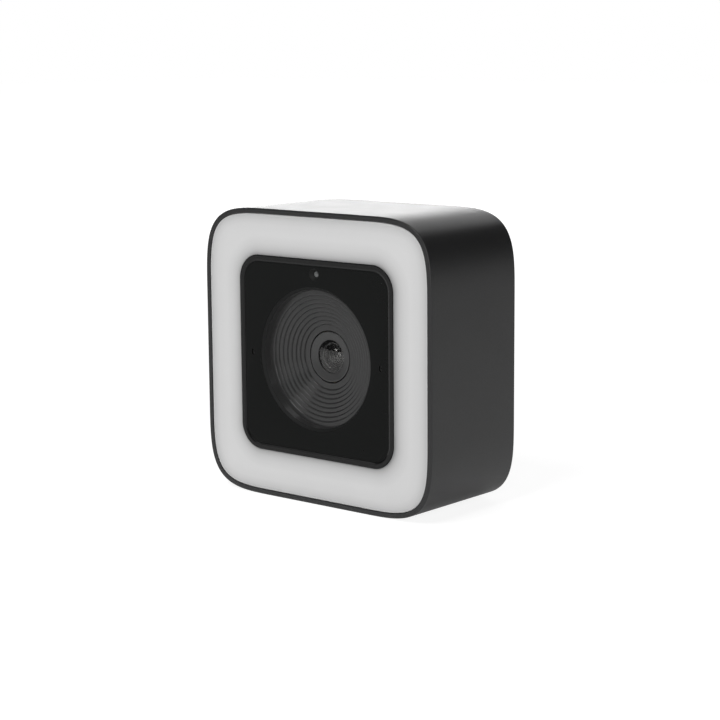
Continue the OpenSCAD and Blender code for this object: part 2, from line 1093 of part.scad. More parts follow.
module focus_magnets() {
    color([0.62, 0.62, 0.64])
    slab(carrier_front, carrier_back)
        for (a = [0:90:270])
            rotate(a)
                translate([coil_r + magnet_gap, -magnet_l/2])
                    square([yoke_w/2 - yoke_t - coil_r - magnet_gap, magnet_l]);
}

module focus_yoke() {
    color([0.5, 0.5, 0.52]) {
        slab(yoke_front, yoke_front + yoke_t)
            difference() {
                square(yoke_w, center = true);
                circle(yoke_hole_r);
            }
        slab(yoke_front, holder_front)
            difference() {
                square(yoke_w, center = true);
                square(yoke_w - 2*yoke_t, center = true);
            }
    }
}

// Leaf spring: a ring on the carrier, a frame on the magnets and four curved arms
module leaf_spring(front) {
    frame = yoke_w - 2*yoke_t - 2*seat_gap;
    slab(front, front + spring_t) {
        difference() {
            square(frame, center = true);
            square(frame - 2*spring_frame_w, center = true);
        }
        difference() {
            circle(barrel_r + seat_gap + spring_ring_w);
            circle(barrel_r + seat_gap);
        }
        difference() {
            circle(spring_arm_r);
            circle(spring_arm_r - spring_arm_w);
            for (a = [0:90:270])
                rotate(a)
                    square([spring_arm_r + overrun, spring_arm_w]);
        }
        for (a = [0:90:270])
            rotate(a) {
                translate([barrel_r + 2*seat_gap, spring_arm_w])
                    square([spring_arm_r - barrel_r - 2*seat_gap - spring_arm_w/2, spring_arm_w]);
                translate([spring_arm_r - spring_arm_w/2, -spring_arm_w])
                    square([frame/2 - spring_arm_r, spring_arm_w]);
            }
    }
}

module focus_front_spring() {
    color([0.85, 0.75, 0.5])
    leaf_spring(carrier_front - spring_t);
}

module focus_rear_spring() {
    color([0.85, 0.75, 0.5])
    leaf_spring(carrier_back);
}

module lens_holder() {
    color([0.1, 0.1, 0.1])
    difference() {
        slab(holder_front, holder_back)
            square(yoke_w, center = true);
        cut_slab(holder_front, holder_back)
            circle(holder_hole_r);
        slab(holder_front + filter_depth, holder_back + overrun)
            square(sensor_room, center = true);
    }
}

module infrared_filter() {
    color([0.6, 0.75, 0.8])
    slab(holder_front + filter_depth, holder_front + filter_depth + filter_t)
        square(sensor_room - 2*seat_gap, center = true);
}

module image_sensor() {
    color([0.2, 0.22, 0.3])
    slab(holder_back - sensor_h, holder_back)
        square([sensor_w, sensor_l], center = true);
}

module sensor_board() {
    color([0.1, 0.3, 0.18])
    difference() {
        slab(holder_back, sensor_board_back)
            rounded(sensor_board_w, sensor_board_h, sensor_board_r);
        face(holder_back)
            for (s = [-1, 1])
                translate([s*sensor_post_x, 0, 0])
                    pan_hole(sensor_board_t + overrun);
    }
}

module sensor_board_screws() {
    color([0.75, 0.75, 0.76])
    face(sensor_board_back)
        from_back()
            for (s = [-1, 1])
                translate([s*sensor_post_x, 0, 0])
                    pan_screw(sensor_screw_h);
}

module board_connector() {
    color([0.1, 0.1, 0.1]) {
        slab(sensor_board_back, sensor_board_back + plug_h)
            square([plug_w - 2*plug_step, plug_l - 2*plug_step], center = true);
        slab(sensor_board_back + plug_h, main_board_front)
            square([plug_w, plug_l], center = true);
    }
}

module main_board() {
    color([0.1, 0.3, 0.18])
    difference() {
        slab(main_board_front, main_board_back)
            difference() {
                body_outline(wall + main_board_gap);
                at_corners(boss_x, boss_z)
                    circle(boss_r + free_gap);
            }
        face(main_board_front)
            at_corners(main_post_x, main_post_z)
                pan_hole(main_board_t + overrun);
    }
}

module main_board_screws() {
    color([0.75, 0.75, 0.76])
    face(main_board_back)
        from_back()
            at_corners(main_post_x, main_post_z)
                pan_screw(main_screw_h);
}

module board_part(x, z, w, l, front, h) {
    slab(front, front + h)
        translate([x, z])
            square([w, l], center = true);
}

module processor() {
    color([0.12, 0.12, 0.12])
    board_part(chip_x, chip_z, chip_w, chip_w, main_board_back, chip_h);
}

module thermal_pad() {
    color([0.45, 0.55, 0.65])
    board_part(chip_x, chip_z, chip_w, chip_w, main_board_back + chip_h, pad_t);
}

module memory_chip() {
    color([0.12, 0.12, 0.12])
    board_part(memory_x, chip_z, memory_w, memory_l, main_board_back, memory_h);
}

module power_coils() {
    color([0.35, 0.35, 0.36])
    for (s = [0, 1])
        board_part(coil_part_x, -coil_part_w - s*coil_part_pitch, coil_part_w, coil_part_w,
                   main_board_back, coil_part_h);
}

module usb_shell() {
    color([0.75, 0.75, 0.76])
    slab(main_board_back, usb_mouth)
        translate([0, -usb_drop])
            difference() {
                stadium(usb_w, usb_h);
                stadium(usb_w - 2*usb_wall, usb_h - 2*usb_wall);
            }
}

module usb_tongue() {
    color([0.1, 0.1, 0.1]) {
        slab(main_board_back, main_board_back + tongue_base_h)
            translate([0, -usb_drop])
                stadium(usb_w - 2*usb_wall - 2*lens_gap, usb_h - 2*usb_wall - 2*lens_gap);
        slab(main_board_back, usb_mouth - tongue_set_back)
            translate([0, -usb_drop])
                square([tongue_w, tongue_t], center = true);
    }
}

housing();
rear_cover();
cover_screws();
tripod_bush();
light_diffuser();
light_reflector();
light_leds();
light_board();
light_board_screws();
light_cable();
light_connectors();
panel_frame();
front_panel();
lens_cone();
status_light_pipe();
status_led();
microphone_boots();
microphones();
front_board();
front_board_screws();
front_board_cable();
front_board_connectors();
chassis();
chassis_screws();
panel_screws();
lens_barrel();
lens_front_element();
lens_front_spacer();
lens_middle_element();
lens_stop();
lens_inner_element();
lens_rear_spacer();
lens_rear_element();
lens_retaining_ring();
focus_carrier();
focus_coil();
focus_magnets();
focus_yoke();
focus_front_spring();
focus_rear_spring();
lens_holder();
infrared_filter();
image_sensor();
sensor_board();
sensor_board_screws();
board_connector();
main_board();
main_board_screws();
processor();
thermal_pad();
memory_chip();
power_coils();
usb_shell();
usb_tongue();
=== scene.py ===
import json
import bpy
import numpy as np
from mathutils import Matrix, Vector


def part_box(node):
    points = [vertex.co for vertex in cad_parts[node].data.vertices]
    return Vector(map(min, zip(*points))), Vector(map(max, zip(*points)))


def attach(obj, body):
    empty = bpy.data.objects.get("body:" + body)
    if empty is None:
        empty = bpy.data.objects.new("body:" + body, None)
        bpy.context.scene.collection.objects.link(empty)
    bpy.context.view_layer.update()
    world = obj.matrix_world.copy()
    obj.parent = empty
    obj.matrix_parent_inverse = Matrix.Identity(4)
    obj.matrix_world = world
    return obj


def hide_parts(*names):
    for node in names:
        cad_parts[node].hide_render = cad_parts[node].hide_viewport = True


# Square webcam with a light ring. Lengths are in metres, depths are counted backwards
# from the front rim, and the optical axis runs along Y at x = 0.

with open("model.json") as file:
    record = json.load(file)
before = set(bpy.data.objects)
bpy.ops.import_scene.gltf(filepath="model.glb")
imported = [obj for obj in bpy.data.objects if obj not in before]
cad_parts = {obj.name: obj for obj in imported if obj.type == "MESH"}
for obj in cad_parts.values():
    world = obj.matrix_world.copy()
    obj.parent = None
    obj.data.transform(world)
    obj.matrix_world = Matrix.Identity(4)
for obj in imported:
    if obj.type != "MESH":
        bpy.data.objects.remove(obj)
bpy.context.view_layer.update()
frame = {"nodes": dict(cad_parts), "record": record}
nodes = frame["nodes"]
mm = 0.001
print("frame loaded:", len(nodes), "nodes")

# What the pieces take from the solids' boxes
housingLow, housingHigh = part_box("housing")
panelLow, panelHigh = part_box("panel_frame")
frontY = housingLow.y
axisZ = (housingLow.z + housingHigh.z)/2
bodyWidth = housingHigh.x - housingLow.x
bodyHeight = housingHigh.z - housingLow.z
bodyDepth = housingHigh.y - housingLow.y
panelWidth = panelHigh.x - panelLow.x
panelHeight = panelHigh.z - panelLow.z

outline = {
    "around": 720,            # points round a housing-sized outline
    "dense": 1500,            # points per corner before they are spread by angle
    "cornerReach": 18.6*mm,   # how far a corner of the housing runs along each side
    "cornerPower": 4.0,       # 2 makes its corners round, more makes them squarer
    "panelRadius": 5.2*mm,
    "smoothAngle": 32,        # degrees between two faces, past which their edge stays sharp
}

# Values that two or more pieces share
shared = {
    "mouth": 14.15*mm,                 # radius of the recess's mouth
    "statusZ": 17.3*mm,                # height of the status light over the axis
    "coverThick": 1.8*mm,
    "screwPlace": (23.9*mm, 23.8*mm),  # from the axis to a cover screw
    "socketPlace": (0, -14*mm),        # from the axis to the socket's middle
    "flangeThick": 0.6*mm,             # of the tripod bush
}
screwX, screwZ = shared["screwPlace"]
screwPlaces = [(sx*screwX, sz*screwZ) for sx in (-1, 1) for sz in (-1, 1)]
overrun = 1*mm      # how far a cutter reaches past what it cuts
proud = 0.001*mm    # the same for a cutter that opens flush
pole = 1e-6         # radius that stands for a point on a piece's own axis


def depths(node):
    # Depths of a node's front and back behind the rim
    low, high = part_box(node)
    return low.y - frontY, high.y - frontY


def byAngle(points, normals, count):
    # Picks the points of a star-shaped outline at evenly spaced angles about its middle
    angle = np.unwrap(np.arctan2(points[:, 1], points[:, 0]))
    order = np.argsort(angle)
    wanted = np.linspace(0, 2*np.pi, count, endpoint=False) + angle.min()
    table = np.hstack([points, normals])[order]
    table = np.vstack([table, table[:1]])
    angle = np.append(angle[order], angle.min() + 2*np.pi)
    picked = np.stack([np.interp(wanted, angle, column) for column in table.T], axis=1)
    size = np.linalg.norm(picked[:, 2:], axis=1, keepdims=True)
    return picked[:, :2], picked[:, 2:]/size


def cornered(width, height, reach, count, power=2.0):
    # Four corners of |x/reach|^power + |z/reach|^power = 1 between straight sides; they are
    # round at power 2. The outward normal is the gradient (|x|^(power-1), |z|^(power-1)).
    u = np.linspace(0, np.pi/2, outline["dense"])
    c, s = np.cos(u)**(2/power), np.sin(u)**(2/power)
    quarter = np.stack([width/2 - reach + reach*c, height/2 - reach + reach*s], axis=1)
    normal = np.stack([c**(power - 1), s**(power - 1)], axis=1)
    signs = np.array([[1, 1], [-1, 1], [-1, -1], [1, -1]])
    backwards = [1, -1, 1, -1]
    points = np.vstack([quarter[::b]*q for q, b in zip(signs, backwards)])
    normals = np.vstack([normal[::b]*q for q, b in zip(signs, backwards)])
    return byAngle(points, normals, count)


def circleLine(radius, count):
    # A circle and its outward normals, at the same angles as the other outlines
    a = np.linspace(0, 2*np.pi, count, endpoint=False)
    ring = np.stack([np.cos(a), np.sin(a)], axis=1)
    return ring*radius, ring


def stadium(width, height, count):
    # Two half circles joined by straight lines
    return cornered(width, height, height/2, count)


def soften(corners, radii, steps=5, support=0.05*mm, most=0.44):
    # Closed profile whose corners become arcs that touch both sides. An arc takes up at most
    # that share of its shorter side. One more point lies just outside each end of an arc,
    # at most a twentieth of that side away, so the flats next to it shade flat.
    supportShare = 0.05
    p = np.array(corners, dtype=float)
    r = np.broadcast_to(np.array(radii, dtype=float), (len(p),))[:, None]
    most = np.broadcast_to(np.array(most, dtype=float), (len(p),))[:, None]
    before, after = np.roll(p, 1, axis=0) - p, np.roll(p, -1, axis=0) - p
    room = np.minimum(np.linalg.norm(before, axis=1), np.linalg.norm(after, axis=1))[:, None]
    a = before/np.linalg.norm(before, axis=1, keepdims=True)
    b = after/np.linalg.norm(after, axis=1, keepdims=True)
    half = np.arccos(np.clip((a*b).sum(axis=1, keepdims=True), -1, 1))/2
    reach = np.minimum(r/np.tan(half), most*room)
    r = reach*np.tan(half)
    centre = p + (a + b)/np.linalg.norm(a + b, axis=1, keepdims=True)*r/np.sin(half)
    first, last = p + a*reach - centre, p + b*reach - centre
    turn = (np.pi - 2*half)[:, :, None]
    t = np.linspace(0, 1, steps + 1)[None, :, None]
    arc = (np.sin((1 - t)*turn)*first[:, None, :] + np.sin(t*turn)*last[:, None, :])/np.sin(turn)
    arc = arc + centre[:, None, :]
    spare = np.minimum(support, supportShare*room)
    lead = (p + a*(reach + spare))[:, None, :]
    trail = (p + b*(reach + spare))[:, None, :]
    return np.concatenate([lead, arc, trail], axis=1).reshape(-1, 2)


def roundEdge(radius, steps):
    # Quarter of a circle from a side to a flat: how far each point lies in from the side,
    # radius*(1 - cos t), and down from the flat, radius*(1 - sin t)
    t = np.linspace(0, np.pi/2, steps + 1)
    return list(zip(radius*(1 - np.cos(t)), radius*(1 - np.sin(t))))


def shade(mesh):
    # Smooth faces, with the edges that turn by more than the smooth angle left sharp
    mesh.shade_smooth()
    mesh.set_sharp_from_angle(angle=np.radians(outline["smoothAngle"]))


def addMesh(name, points, faces):
    # Puts points and faces into a mesh, turned outwards by the sign of its volume
    mesh = bpy.data.meshes.new(name)
    mesh.from_pydata(points.tolist(), [], faces)
    mesh.validate()
    mesh.calc_loop_triangles()
    tris = np.empty(len(mesh.loop_triangles)*3, dtype=np.int32)
    mesh.loop_triangles.foreach_get("vertices", tris)
    corner = points[tris.reshape(-1, 3)]
    volume = np.einsum("ij,ij->i", corner[:, 0], np.cross(corner[:, 1], corner[:, 2])).sum()
    if volume < 0:
        mesh.flip_normals()
    shade(mesh)
    piece = bpy.data.objects.new(name, mesh)
    bpy.context.scene.collection.objects.link(piece)
    return piece


def gridFaces(rows, columns, closeRows):
    # Quads between neighbouring rings; the last ring joins the first if closeRows
    i = np.arange(rows if closeRows else rows - 1)[:, None]
    j = np.arange(columns)[None, :]
    i2, j2 = (i + 1) % rows, (j + 1) % columns
    quads = np.stack([i*columns + j, i*columns + j2, i2*columns + j2, i2*columns + j], axis=-1)
    return quads.reshape(-1, 4).tolist()


def fan(start, middle, count, backwards=False):
    # Triangles between the ring of points that begins at start and one middle point
    j = start + np.arange(count)
    j2 = start + (np.arange(count) + 1) % count
    ends = (j2, j) if backwards else (j, j2)
    return np.stack([*ends, np.full(count, middle)], axis=1).tolist()


def loft(name, outer, inner, rows, capped=False, place=(0, 0)):
    # Rings between two outlines. A row (share, offset, depth) lies that share of the way
    # from the outer outline to the inner one, each first moved along its normals by offset.
    share, offset, depth = np.array(rows, dtype=float).T[:, :, None]
    (p, n), (q, m) = outer, inner
    flat = (1 - share)[:, :, None]*(p[None] + n[None]*offset[:, :, None]) \
        + share[:, :, None]*(q[None] + m[None]*offset[:, :, None])
    count, around = flat.shape[:2]
    y = np.broadcast_to(frontY + depth, (count, around))
    points = np.stack([flat[:, :, 0] + place[0], y, flat[:, :, 1] + axisZ + place[1]], axis=-1)
    points = points.reshape(-1, 3)
    faces = gridFaces(count, around, not capped)
    if capped:
        points = np.vstack([points, points[:around].mean(axis=0), points[-around:].mean(axis=0)])
        faces += fan(0, count*around, around, backwards=True)
        faces += fan((count - 1)*around, count*around + 1, around)
    return addMesh(name, points, faces)


def carry(name, base, profile, **options):
    # Carries a profile of (offset, depth) along one outline
    rows = np.column_stack([np.zeros(len(profile)), profile])
    return loft(name, base, base, rows, **options)


def turned(name, profile, around=192, **options):
    # Turns a profile of (radius, depth) about the optical axis, or about place
    return carry(name, circleLine(0.0, around), profile, **options)


def bridged(name, near, far):
    # Joins two rings of points by quads and closes each end with one face
    count = len(near)
    ends = [list(range(count))[::-1], list(range(count, 2*count))]
    return addMesh(name, np.vstack([near, far]), gridFaces(2, count, False) + ends)


def uprightPost(name, radius, low, high, count=128):
    # A round post along Z between two heights
    a = np.linspace(0, 2*np.pi, count, endpoint=False)
    ring = np.stack([np.cos(a)*radius, np.sin(a)*radius, np.zeros(count)], axis=1)
    return bridged(name, ring + (0, 0, low), ring + (0, 0, high))


def lyingPost(name, radius, front, back, place=(0, 0), farRadius=None, count=64):
    # A round post, or a cone, along Y between two depths
    a = np.linspace(0, 2*np.pi, count, endpoint=False)
    far = radius if farRadius is None else farRadius
    ring = np.stack([np.cos(a), np.zeros(count), np.sin(a)], axis=1)
    middle = np.array([place[0], frontY, axisZ + place[1]])
    return bridged(name, ring*radius + middle + (0, front, 0), ring*far + middle + (0, back, 0))


def finished(piece, *cutters, operation="DIFFERENCE"):
    # Cuts or joins with other pieces, then keeps the result as the piece's own mesh
    for cutter in cutters:
        cut = piece.modifiers.new("cut", "BOOLEAN")
        cut.object, cut.operation, cut.solver = cutter, operation, "EXACT"
    seen = piece.evaluated_get(bpy.context.evaluated_depsgraph_get())
    mesh = bpy.data.meshes.new_from_object(seen)
    piece.modifiers.clear()
    piece.data = mesh
    for cutter in cutters:
        bpy.data.objects.remove(cutter)
    shade(mesh)
    return piece


def readMesh(mesh):
    # Points of a mesh, the corners of its faces in a row, and how many each face has
    points = np.empty(len(mesh.vertices)*3)
    corners = np.empty(len(mesh.loops), dtype=np.int32)
    sizes = np.empty(len(mesh.polygons), dtype=np.int32)
    mesh.vertices.foreach_get("co", points)
    mesh.loops.foreach_get("vertex_index", corners)
    mesh.polygons.foreach_get("loop_total", sizes)
    return points.reshape(-1, 3), corners, sizes


def joined(name, pieces):
    # One mesh from several separate ones, numbered one after the other
    parts = [readMesh(piece.data) for piece in pieces]
    starts = np.cumsum([0] + [len(part[0]) for part in parts[:-1]])
    points = np.vstack([part[0] for part in parts])
    corners = np.concatenate([part[1] + start for part, start in zip(parts, starts)])
    sizes = np.concatenate([part[2] for part in parts])
    faces = [face.tolist() for face in np.split(corners, np.cumsum(sizes)[:-1])]
    for piece in pieces:
        bpy.data.objects.remove(piece)
    return addMesh(name, points, faces)


def tag(piece, name, values, domain="POINT"):
    # Keeps one number per point, or per face, for a material to read
    attribute = piece.data.attributes.new(name, "FLOAT", domain)
    attribute.data.foreach_set("value", values.astype(np.float32))


def distanceTo(line, points):
    # Distance of each point to a closed line: each of its segments is met at the share
    # along it, held between 0 and 1, that lies nearest to the point
    batch = 2000    # points at a time
    step = np.roll(line, -1, axis=0) - line
    least = np.full(len(points), np.inf)
    for rows in np.array_split(np.arange(len(points)), 1 + len(points)//batch):
        away = points[rows, None, :] - line[None]
        share = np.clip((away*step[None]).sum(axis=2)/(step**2).sum(axis=1)[None], 0, 1)
        gap = away - share[:, :, None]*step[None]
        least[rows] = np.sqrt((gap**2).sum(axis=2)).min(axis=1)
    return least


def wear(piece, slotName, *instead, body="camera"):
    # Gives a piece the finish of its slot, its body and the nodes that it stands for
    piece.data.materials.clear()
    piece.data.materials.append(finish[slotName])
    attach(piece, body)
    if instead:
        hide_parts(*instead)


# Materials

def newMaterial(name, **values):
    # A principled surface with plain values on its own sockets
    material = bpy.data.materials.new(name)
    material.use_nodes = True
    shader = material.node_tree.nodes["Principled BSDF"]
    for socket, value in values.items():
        shader.inputs[socket.replace("_", " ")].default_value = value
    return material, material.node_tree, shader


def addNode(tree, kind, operation=None, **values):
    # One node, with plain values on its sockets; an underscore stands for a space in a name
    node = tree.nodes.new(kind)
    if operation:
        node.operation = operation
    for socket, value in values.items():
        node.inputs[socket.replace("_", " ")].default_value = value
    return node


def addNoise(tree, vector, scale, detail=2.0, roughness=0.5):
    # Noise read at vector, with scale cells to the metre
    noise = addNode(tree, "ShaderNodeTexNoise", Scale=scale, Detail=detail, Roughness=roughness)
    tree.links.new(vector, noise.inputs["Vector"])
    return noise.outputs["Fac"]


def addTint(tree, factor, low, high, stops=(0, 1)):
    # Colour that goes from low to high while the factor rises between the stops
    tint = addNode(tree, "ShaderNodeValToRGB")
    for stop, place, color in zip(tint.color_ramp.elements, stops, (low, high)):
        stop.position = place
        stop.color = (*color, 1)
    tree.links.new(factor, tint.inputs["Fac"])
    return tint.outputs["Color"]


def addRelief(tree, height, shader, strength, distance):
    # A bump of that strength on a surface, from a height
    relief = addNode(tree, "ShaderNodeBump", Strength=strength, Distance=distance)
    tree.links.new(height, relief.inputs["Height"])
    tree.links.new(relief.outputs["Normal"], shader.inputs["Normal"])


def grainy(name, color, roughness, grain=0.25*mm, bump=0.15, spread=0.12, stretch=(1, 1, 1), **values):
    # Colour that varies by the spread with a noise as fine as the grain, a bump from the same
    # noise, and a roughness that varies with a wider one
    look = {"detail": 3.0, "detailRoughness": 0.6, "wide": 0.03, "stops": (0.3, 0.7),
            "roughest": 1.08, "smoothest": 0.92, "bumpDistance": 0.02*mm}
    material, tree, shader = newMaterial(name, **values)
    link = tree.links.new
    where = addNode(tree, "ShaderNodeTexCoord")
    scaled = addNode(tree, "ShaderNodeMapping", Scale=stretch)
    link(where.outputs["Object"], scaled.inputs["Vector"])
    fine = addNoise(tree, scaled.outputs["Vector"], 1/grain, look["detail"], look["detailRoughness"])
    wide = addNoise(tree, scaled.outputs["Vector"], look["wide"]/grain)
    low = [c*(1 - spread) for c in color]
    high = [min(c*(1 + spread), 1) for c in color]
    link(addTint(tree, fine, low, high, look["stops"]), shader.inputs["Base Color"])
    rough = addNode(tree, "ShaderNodeMapRange", To_Min=roughness*look["smoothest"],
                    To_Max=roughness*look["roughest"])
    link(wide, rough.inputs["Value"])
    link(rough.outputs["Result"], shader.inputs["Roughness"])
    addRelief(tree, fine, shader, bump, look["bumpDistance"])
    return material


def opal(name, look):
    # White opal plastic with painted shade in its base colour towards its edges, where the frame
    # and the housing would shade the light inside it. Each painted shade follows the distance kept on
    # the ring's points: colour times shade(distance to the frame) times shade(distance to the rim).
    material, tree, shader = newMaterial(name, Roughness=look["roughness"], IOR=1.49,
                                         Specular_IOR_Level=look["specular"])
    link = tree.links.new
    where = addNode(tree, "ShaderNodeTexCoord")
    paintedShades = []
    for source in ("fromFrame", "fromRim"):
        read = addNode(tree, "ShaderNodeAttribute")
        read.attribute_name = source
        scaled = addNode(tree, "ShaderNodeMath", "DIVIDE")
        scaled.inputs[1].default_value = look["reach"]
        ramp = addNode(tree, "ShaderNodeValToRGB")
        stops = ramp.color_ramp.elements
        for place, value in look[source]:
            place = min(place/look["reach"], 1)
            stop = stops[0] if place == 0 else stops[-1] if place == 1 else stops.new(place)
            stop.color = (value, value, value, 1)
        link(read.outputs["Fac"], scaled.inputs[0])
        link(scaled.outputs["Value"], ramp.inputs["Fac"])
        paintedShades.append(ramp.outputs["Color"])
    # The two painted shades multiply the opal's colour
    both = addNode(tree, "ShaderNodeVectorMath", "MULTIPLY")
    whole = addNode(tree, "ShaderNodeVectorMath", "MULTIPLY")
    whole.inputs[1].default_value = look["color"]
    link(paintedShades[0], both.inputs[0])
    link(paintedShades[1], both.inputs[1])
    link(both.outputs["Vector"], whole.inputs[0])
    link(whole.outputs["Vector"], shader.inputs["Base Color"])
    cloud = addNoise(tree, where.outputs["Object"], 1/look["cloud"])
    addRelief(tree, cloud, shader, look["bump"], look["bumpDistance"])
    return material


def polished(name, color, look):
    # Gloss plate: polished on its flat faces, where the faces carry matt = 0, dull and a little
    # lighter on the bevel and in the dish, where they carry matt = 1
    material, tree, shader = newMaterial(name, IOR=1.5)
    link = tree.links.new
    where = addNode(tree, "ShaderNodeTexCoord")
    dull = addNode(tree, "ShaderNodeAttribute")
    dull.attribute_name = "matt"
    rough = addNode(tree, "ShaderNodeMapRange", To_Min=look["roughness"], To_Max=look["mattRoughness"])
    shine = addNode(tree, "ShaderNodeMapRange", To_Min=look["specular"], To_Max=look["mattSpecular"])
    for change, socket in ((rough, "Roughness"), (shine, "Specular IOR Level")):
        link(dull.outputs["Fac"], change.inputs["Value"])
        link(change.outputs["Result"], shader.inputs[socket])
    noise = addNoise(tree, where.outputs["Object"], 1/look["cloud"])
    low = [c*(1 - look["spread"]) for c in color]
    high = [c*(1 + look["spread"]) for c in color]
    mix = addNode(tree, "ShaderNodeMix")
    mix.data_type = "RGBA"
    glossColor, mattColor = [socket for socket in mix.inputs if socket.type == "RGBA"]
    mixedColor = [socket for socket in mix.outputs if socket.type == "RGBA"][0]
    mattColor.default_value = (*look["mattColor"], 1)
    link(dull.outputs["Fac"], mix.inputs["Factor"])
    link(addTint(tree, noise, low, high), glossColor)
    link(mixedColor, shader.inputs["Base Color"])
    return material


def glassy(name, color, clear, coat=(1.0, 0.99, 0.97)):
    # Coated glass: the share clear of the light goes through and the rest is a grey haze.
    # Its reflections carry the faint colour of the thin film, coat.
    look = {"roughness": 0.03, "specular": 0.5, "cloud": 0.8*mm, "spread": 0.03}
    material, tree, shader = newMaterial(name, Roughness=look["roughness"], IOR=1.52,
                                         Transmission_Weight=clear, Specular_IOR_Level=look["specular"],
                                         Specular_Tint=(*coat, 1))
    where = addNode(tree, "ShaderNodeTexCoord")
    noise = addNoise(tree, where.outputs["Object"], 1/look["cloud"])
    tint = addTint(tree, noise, [c*(1 - look["spread"]) for c in color], color)
    tree.links.new(tint, shader.inputs["Base Color"])
    return material


# One finish for each material slot. The values of grainy are its name, colour and roughness,
# the size of the grain, the strength of the bump and the spread of the colour.
finish = {
    "housing_black": grainy("housingBlack", (0.018, 0.018, 0.0186), 0.4, 0.22*mm, 0.35, 0.22,
                            Specular_IOR_Level=0.56),
    "cover_black": grainy("coverBlack", (0.03, 0.03, 0.031), 0.5, 0.3*mm, 0.5, 0.15),
    # fromFrame and fromRim list (distance, shade) pairs: painted shade towards the frame and the rim, and
    # a faint painted highlight at the rim's very edge
    "opal_white": opal("opalWhitePaintedShade", {
        "color": (0.8, 0.8, 0.8), "roughness": 0.42, "specular": 0.3, "cloud": 1.5*mm, "bump": 0.05,
        "bumpDistance": 0.01*mm, "reach": 4*mm,
        "fromFrame": [(0, 0.32), (0.3*mm, 0.5), (0.5*mm, 0.6), (0.75*mm, 0.68), (1.25*mm, 0.79),
                      (1.75*mm, 0.86), (2.5*mm, 0.93), (4*mm, 1)],
        "fromRim": [(0, 0.86), (0.18*mm, 0.84), (0.4*mm, 0.78), (0.7*mm, 0.83), (1.3*mm, 0.9),
                    (2.2*mm, 0.965), (4*mm, 1)]}),
    "reflector_white": grainy("reflectorWhite", (0.85, 0.85, 0.84), 0.6, 0.4*mm, 0.2, 0.04),
    "frame_black": grainy("frameBlack", (0.0085, 0.0085, 0.0085), 0.22, 0.2*mm, 0.06, 0.12,
                          Specular_IOR_Level=0.27),
    "panel_black": polished("panelBlack", (0.0036, 0.0042, 0.0039), {
        "roughness": 0.06, "specular": 0.11, "cloud": 2*mm, "spread": 0.05,
        "mattRoughness": 0.7, "mattSpecular": 0.3, "mattColor": (0.0068, 0.0072, 0.007)}),
    "recess_grey": grainy("recessGrey", (0.032, 0.032, 0.032), 0.36, 0.2*mm, 0.03, 0.06,
                          Specular_IOR_Level=0.2, Coat_Weight=0.55, Coat_Roughness=0.13),
    "barrel_grey": grainy("barrelGrey", (0.05, 0.05, 0.05), 0.36, 0.25*mm, 0.2, 0.1),
    "inner_black": grainy("innerBlack", (0.02, 0.02, 0.02), 0.6, 0.3*mm, 0.2, 0.15),
    "lens_glass": glassy("lensGlass", (0.6, 0.6, 0.6), 0.985),
    "filter_glass": glassy("filterGlass", (0.6, 0.85, 0.85), 1.0, coat=(1.0, 0.5, 0.5)),
    "light_pipe_clear": grainy("lightPipeClear", (0.16, 0.165, 0.165), 0.25, 0.5*mm, 0.1, 0.05),
    "rubber_black": grainy("rubberBlack", (0.02, 0.02, 0.02), 0.75, 0.3*mm, 0.3, 0.2),
    "board_green": grainy("boardGreen", (0.02, 0.09, 0.045), 0.3, 0.6*mm, 0.3, 0.2),
    "board_white": grainy("boardWhite", (0.8, 0.8, 0.78), 0.3, 0.6*mm, 0.2, 0.05),
    "diode_yellow": grainy("diodeYellow", (0.85, 0.68, 0.2), 0.5, 0.3*mm, 0.3, 0.15),
    "socket_cream": grainy("socketCream", (0.72, 0.68, 0.55), 0.45, 0.3*mm, 0.2, 0.06),
    "ribbon_amber": grainy("ribbonAmber", (0.5, 0.22, 0.04), 0.3, 0.4*mm, 0.1, 0.15,
                           stretch=(1, 0.1, 1)),
    "screw_black": grainy("screwBlack", (0.03, 0.03, 0.03), 0.35, 0.15*mm, 0.3, 0.3, Metallic=0.6),
    "screw_steel": grainy("screwSteel", (0.55, 0.55, 0.56), 0.3, 0.15*mm, 0.3, 0.1, Metallic=1.0),
    "bush_brass": grainy("bushBrass", (0.72, 0.52, 0.26), 0.28, 0.15*mm, 0.3, 0.1,
                         stretch=(1, 1, 8), Metallic=1.0),
    "coil_copper": grainy("coilCopper", (0.72, 0.33, 0.14), 0.35, 0.12*mm, 0.6, 0.2,
                          stretch=(0.1, 1, 0.1), Metallic=0.9),
    "magnet_nickel": grainy("magnetNickel", (0.6, 0.6, 0.61), 0.22, 0.3*mm, 0.1, 0.06, Metallic=1.0),
    "yoke_steel": grainy("yokeSteel", (0.42, 0.42, 0.44), 0.35, 0.2*mm, 0.3, 0.1, Metallic=1.0),
    "spring_bronze": grainy("springBronze", (0.75, 0.55, 0.3), 0.3, 0.2*mm, 0.2, 0.1, Metallic=1.0),
    "chip_black": grainy("chipBlack", (0.02, 0.02, 0.02), 0.55, 0.25*mm, 0.3, 0.2),
    "sensor_dark": grainy("sensorDark", (0.03, 0.04, 0.07), 0.15, 0.05*mm, 0.2, 0.2),
    "thermal_blue": grainy("thermalBlue", (0.2, 0.3, 0.45), 0.8, 0.4*mm, 0.5, 0.1),
    "microphone_gold": grainy("microphoneGold", (0.7, 0.6, 0.36), 0.3, 0.2*mm, 0.2, 0.08, Metallic=1.0),
}
print("materials made:", len(finish))

# Every CAD node wears the finish of its slot; the visible ones are replaced below
for row in frame["record"]["subparts"]:
    node = nodes[row["node"]]
    node.data.materials.clear()
    node.data.materials.append(finish[row["material_slot"]])

# Outlines shared by the pieces
around = outline["around"]
bodyLine = cornered(bodyWidth, bodyHeight, outline["cornerReach"], around, outline["cornerPower"])
panelLine = cornered(panelWidth, panelHeight, outline["panelRadius"], around)


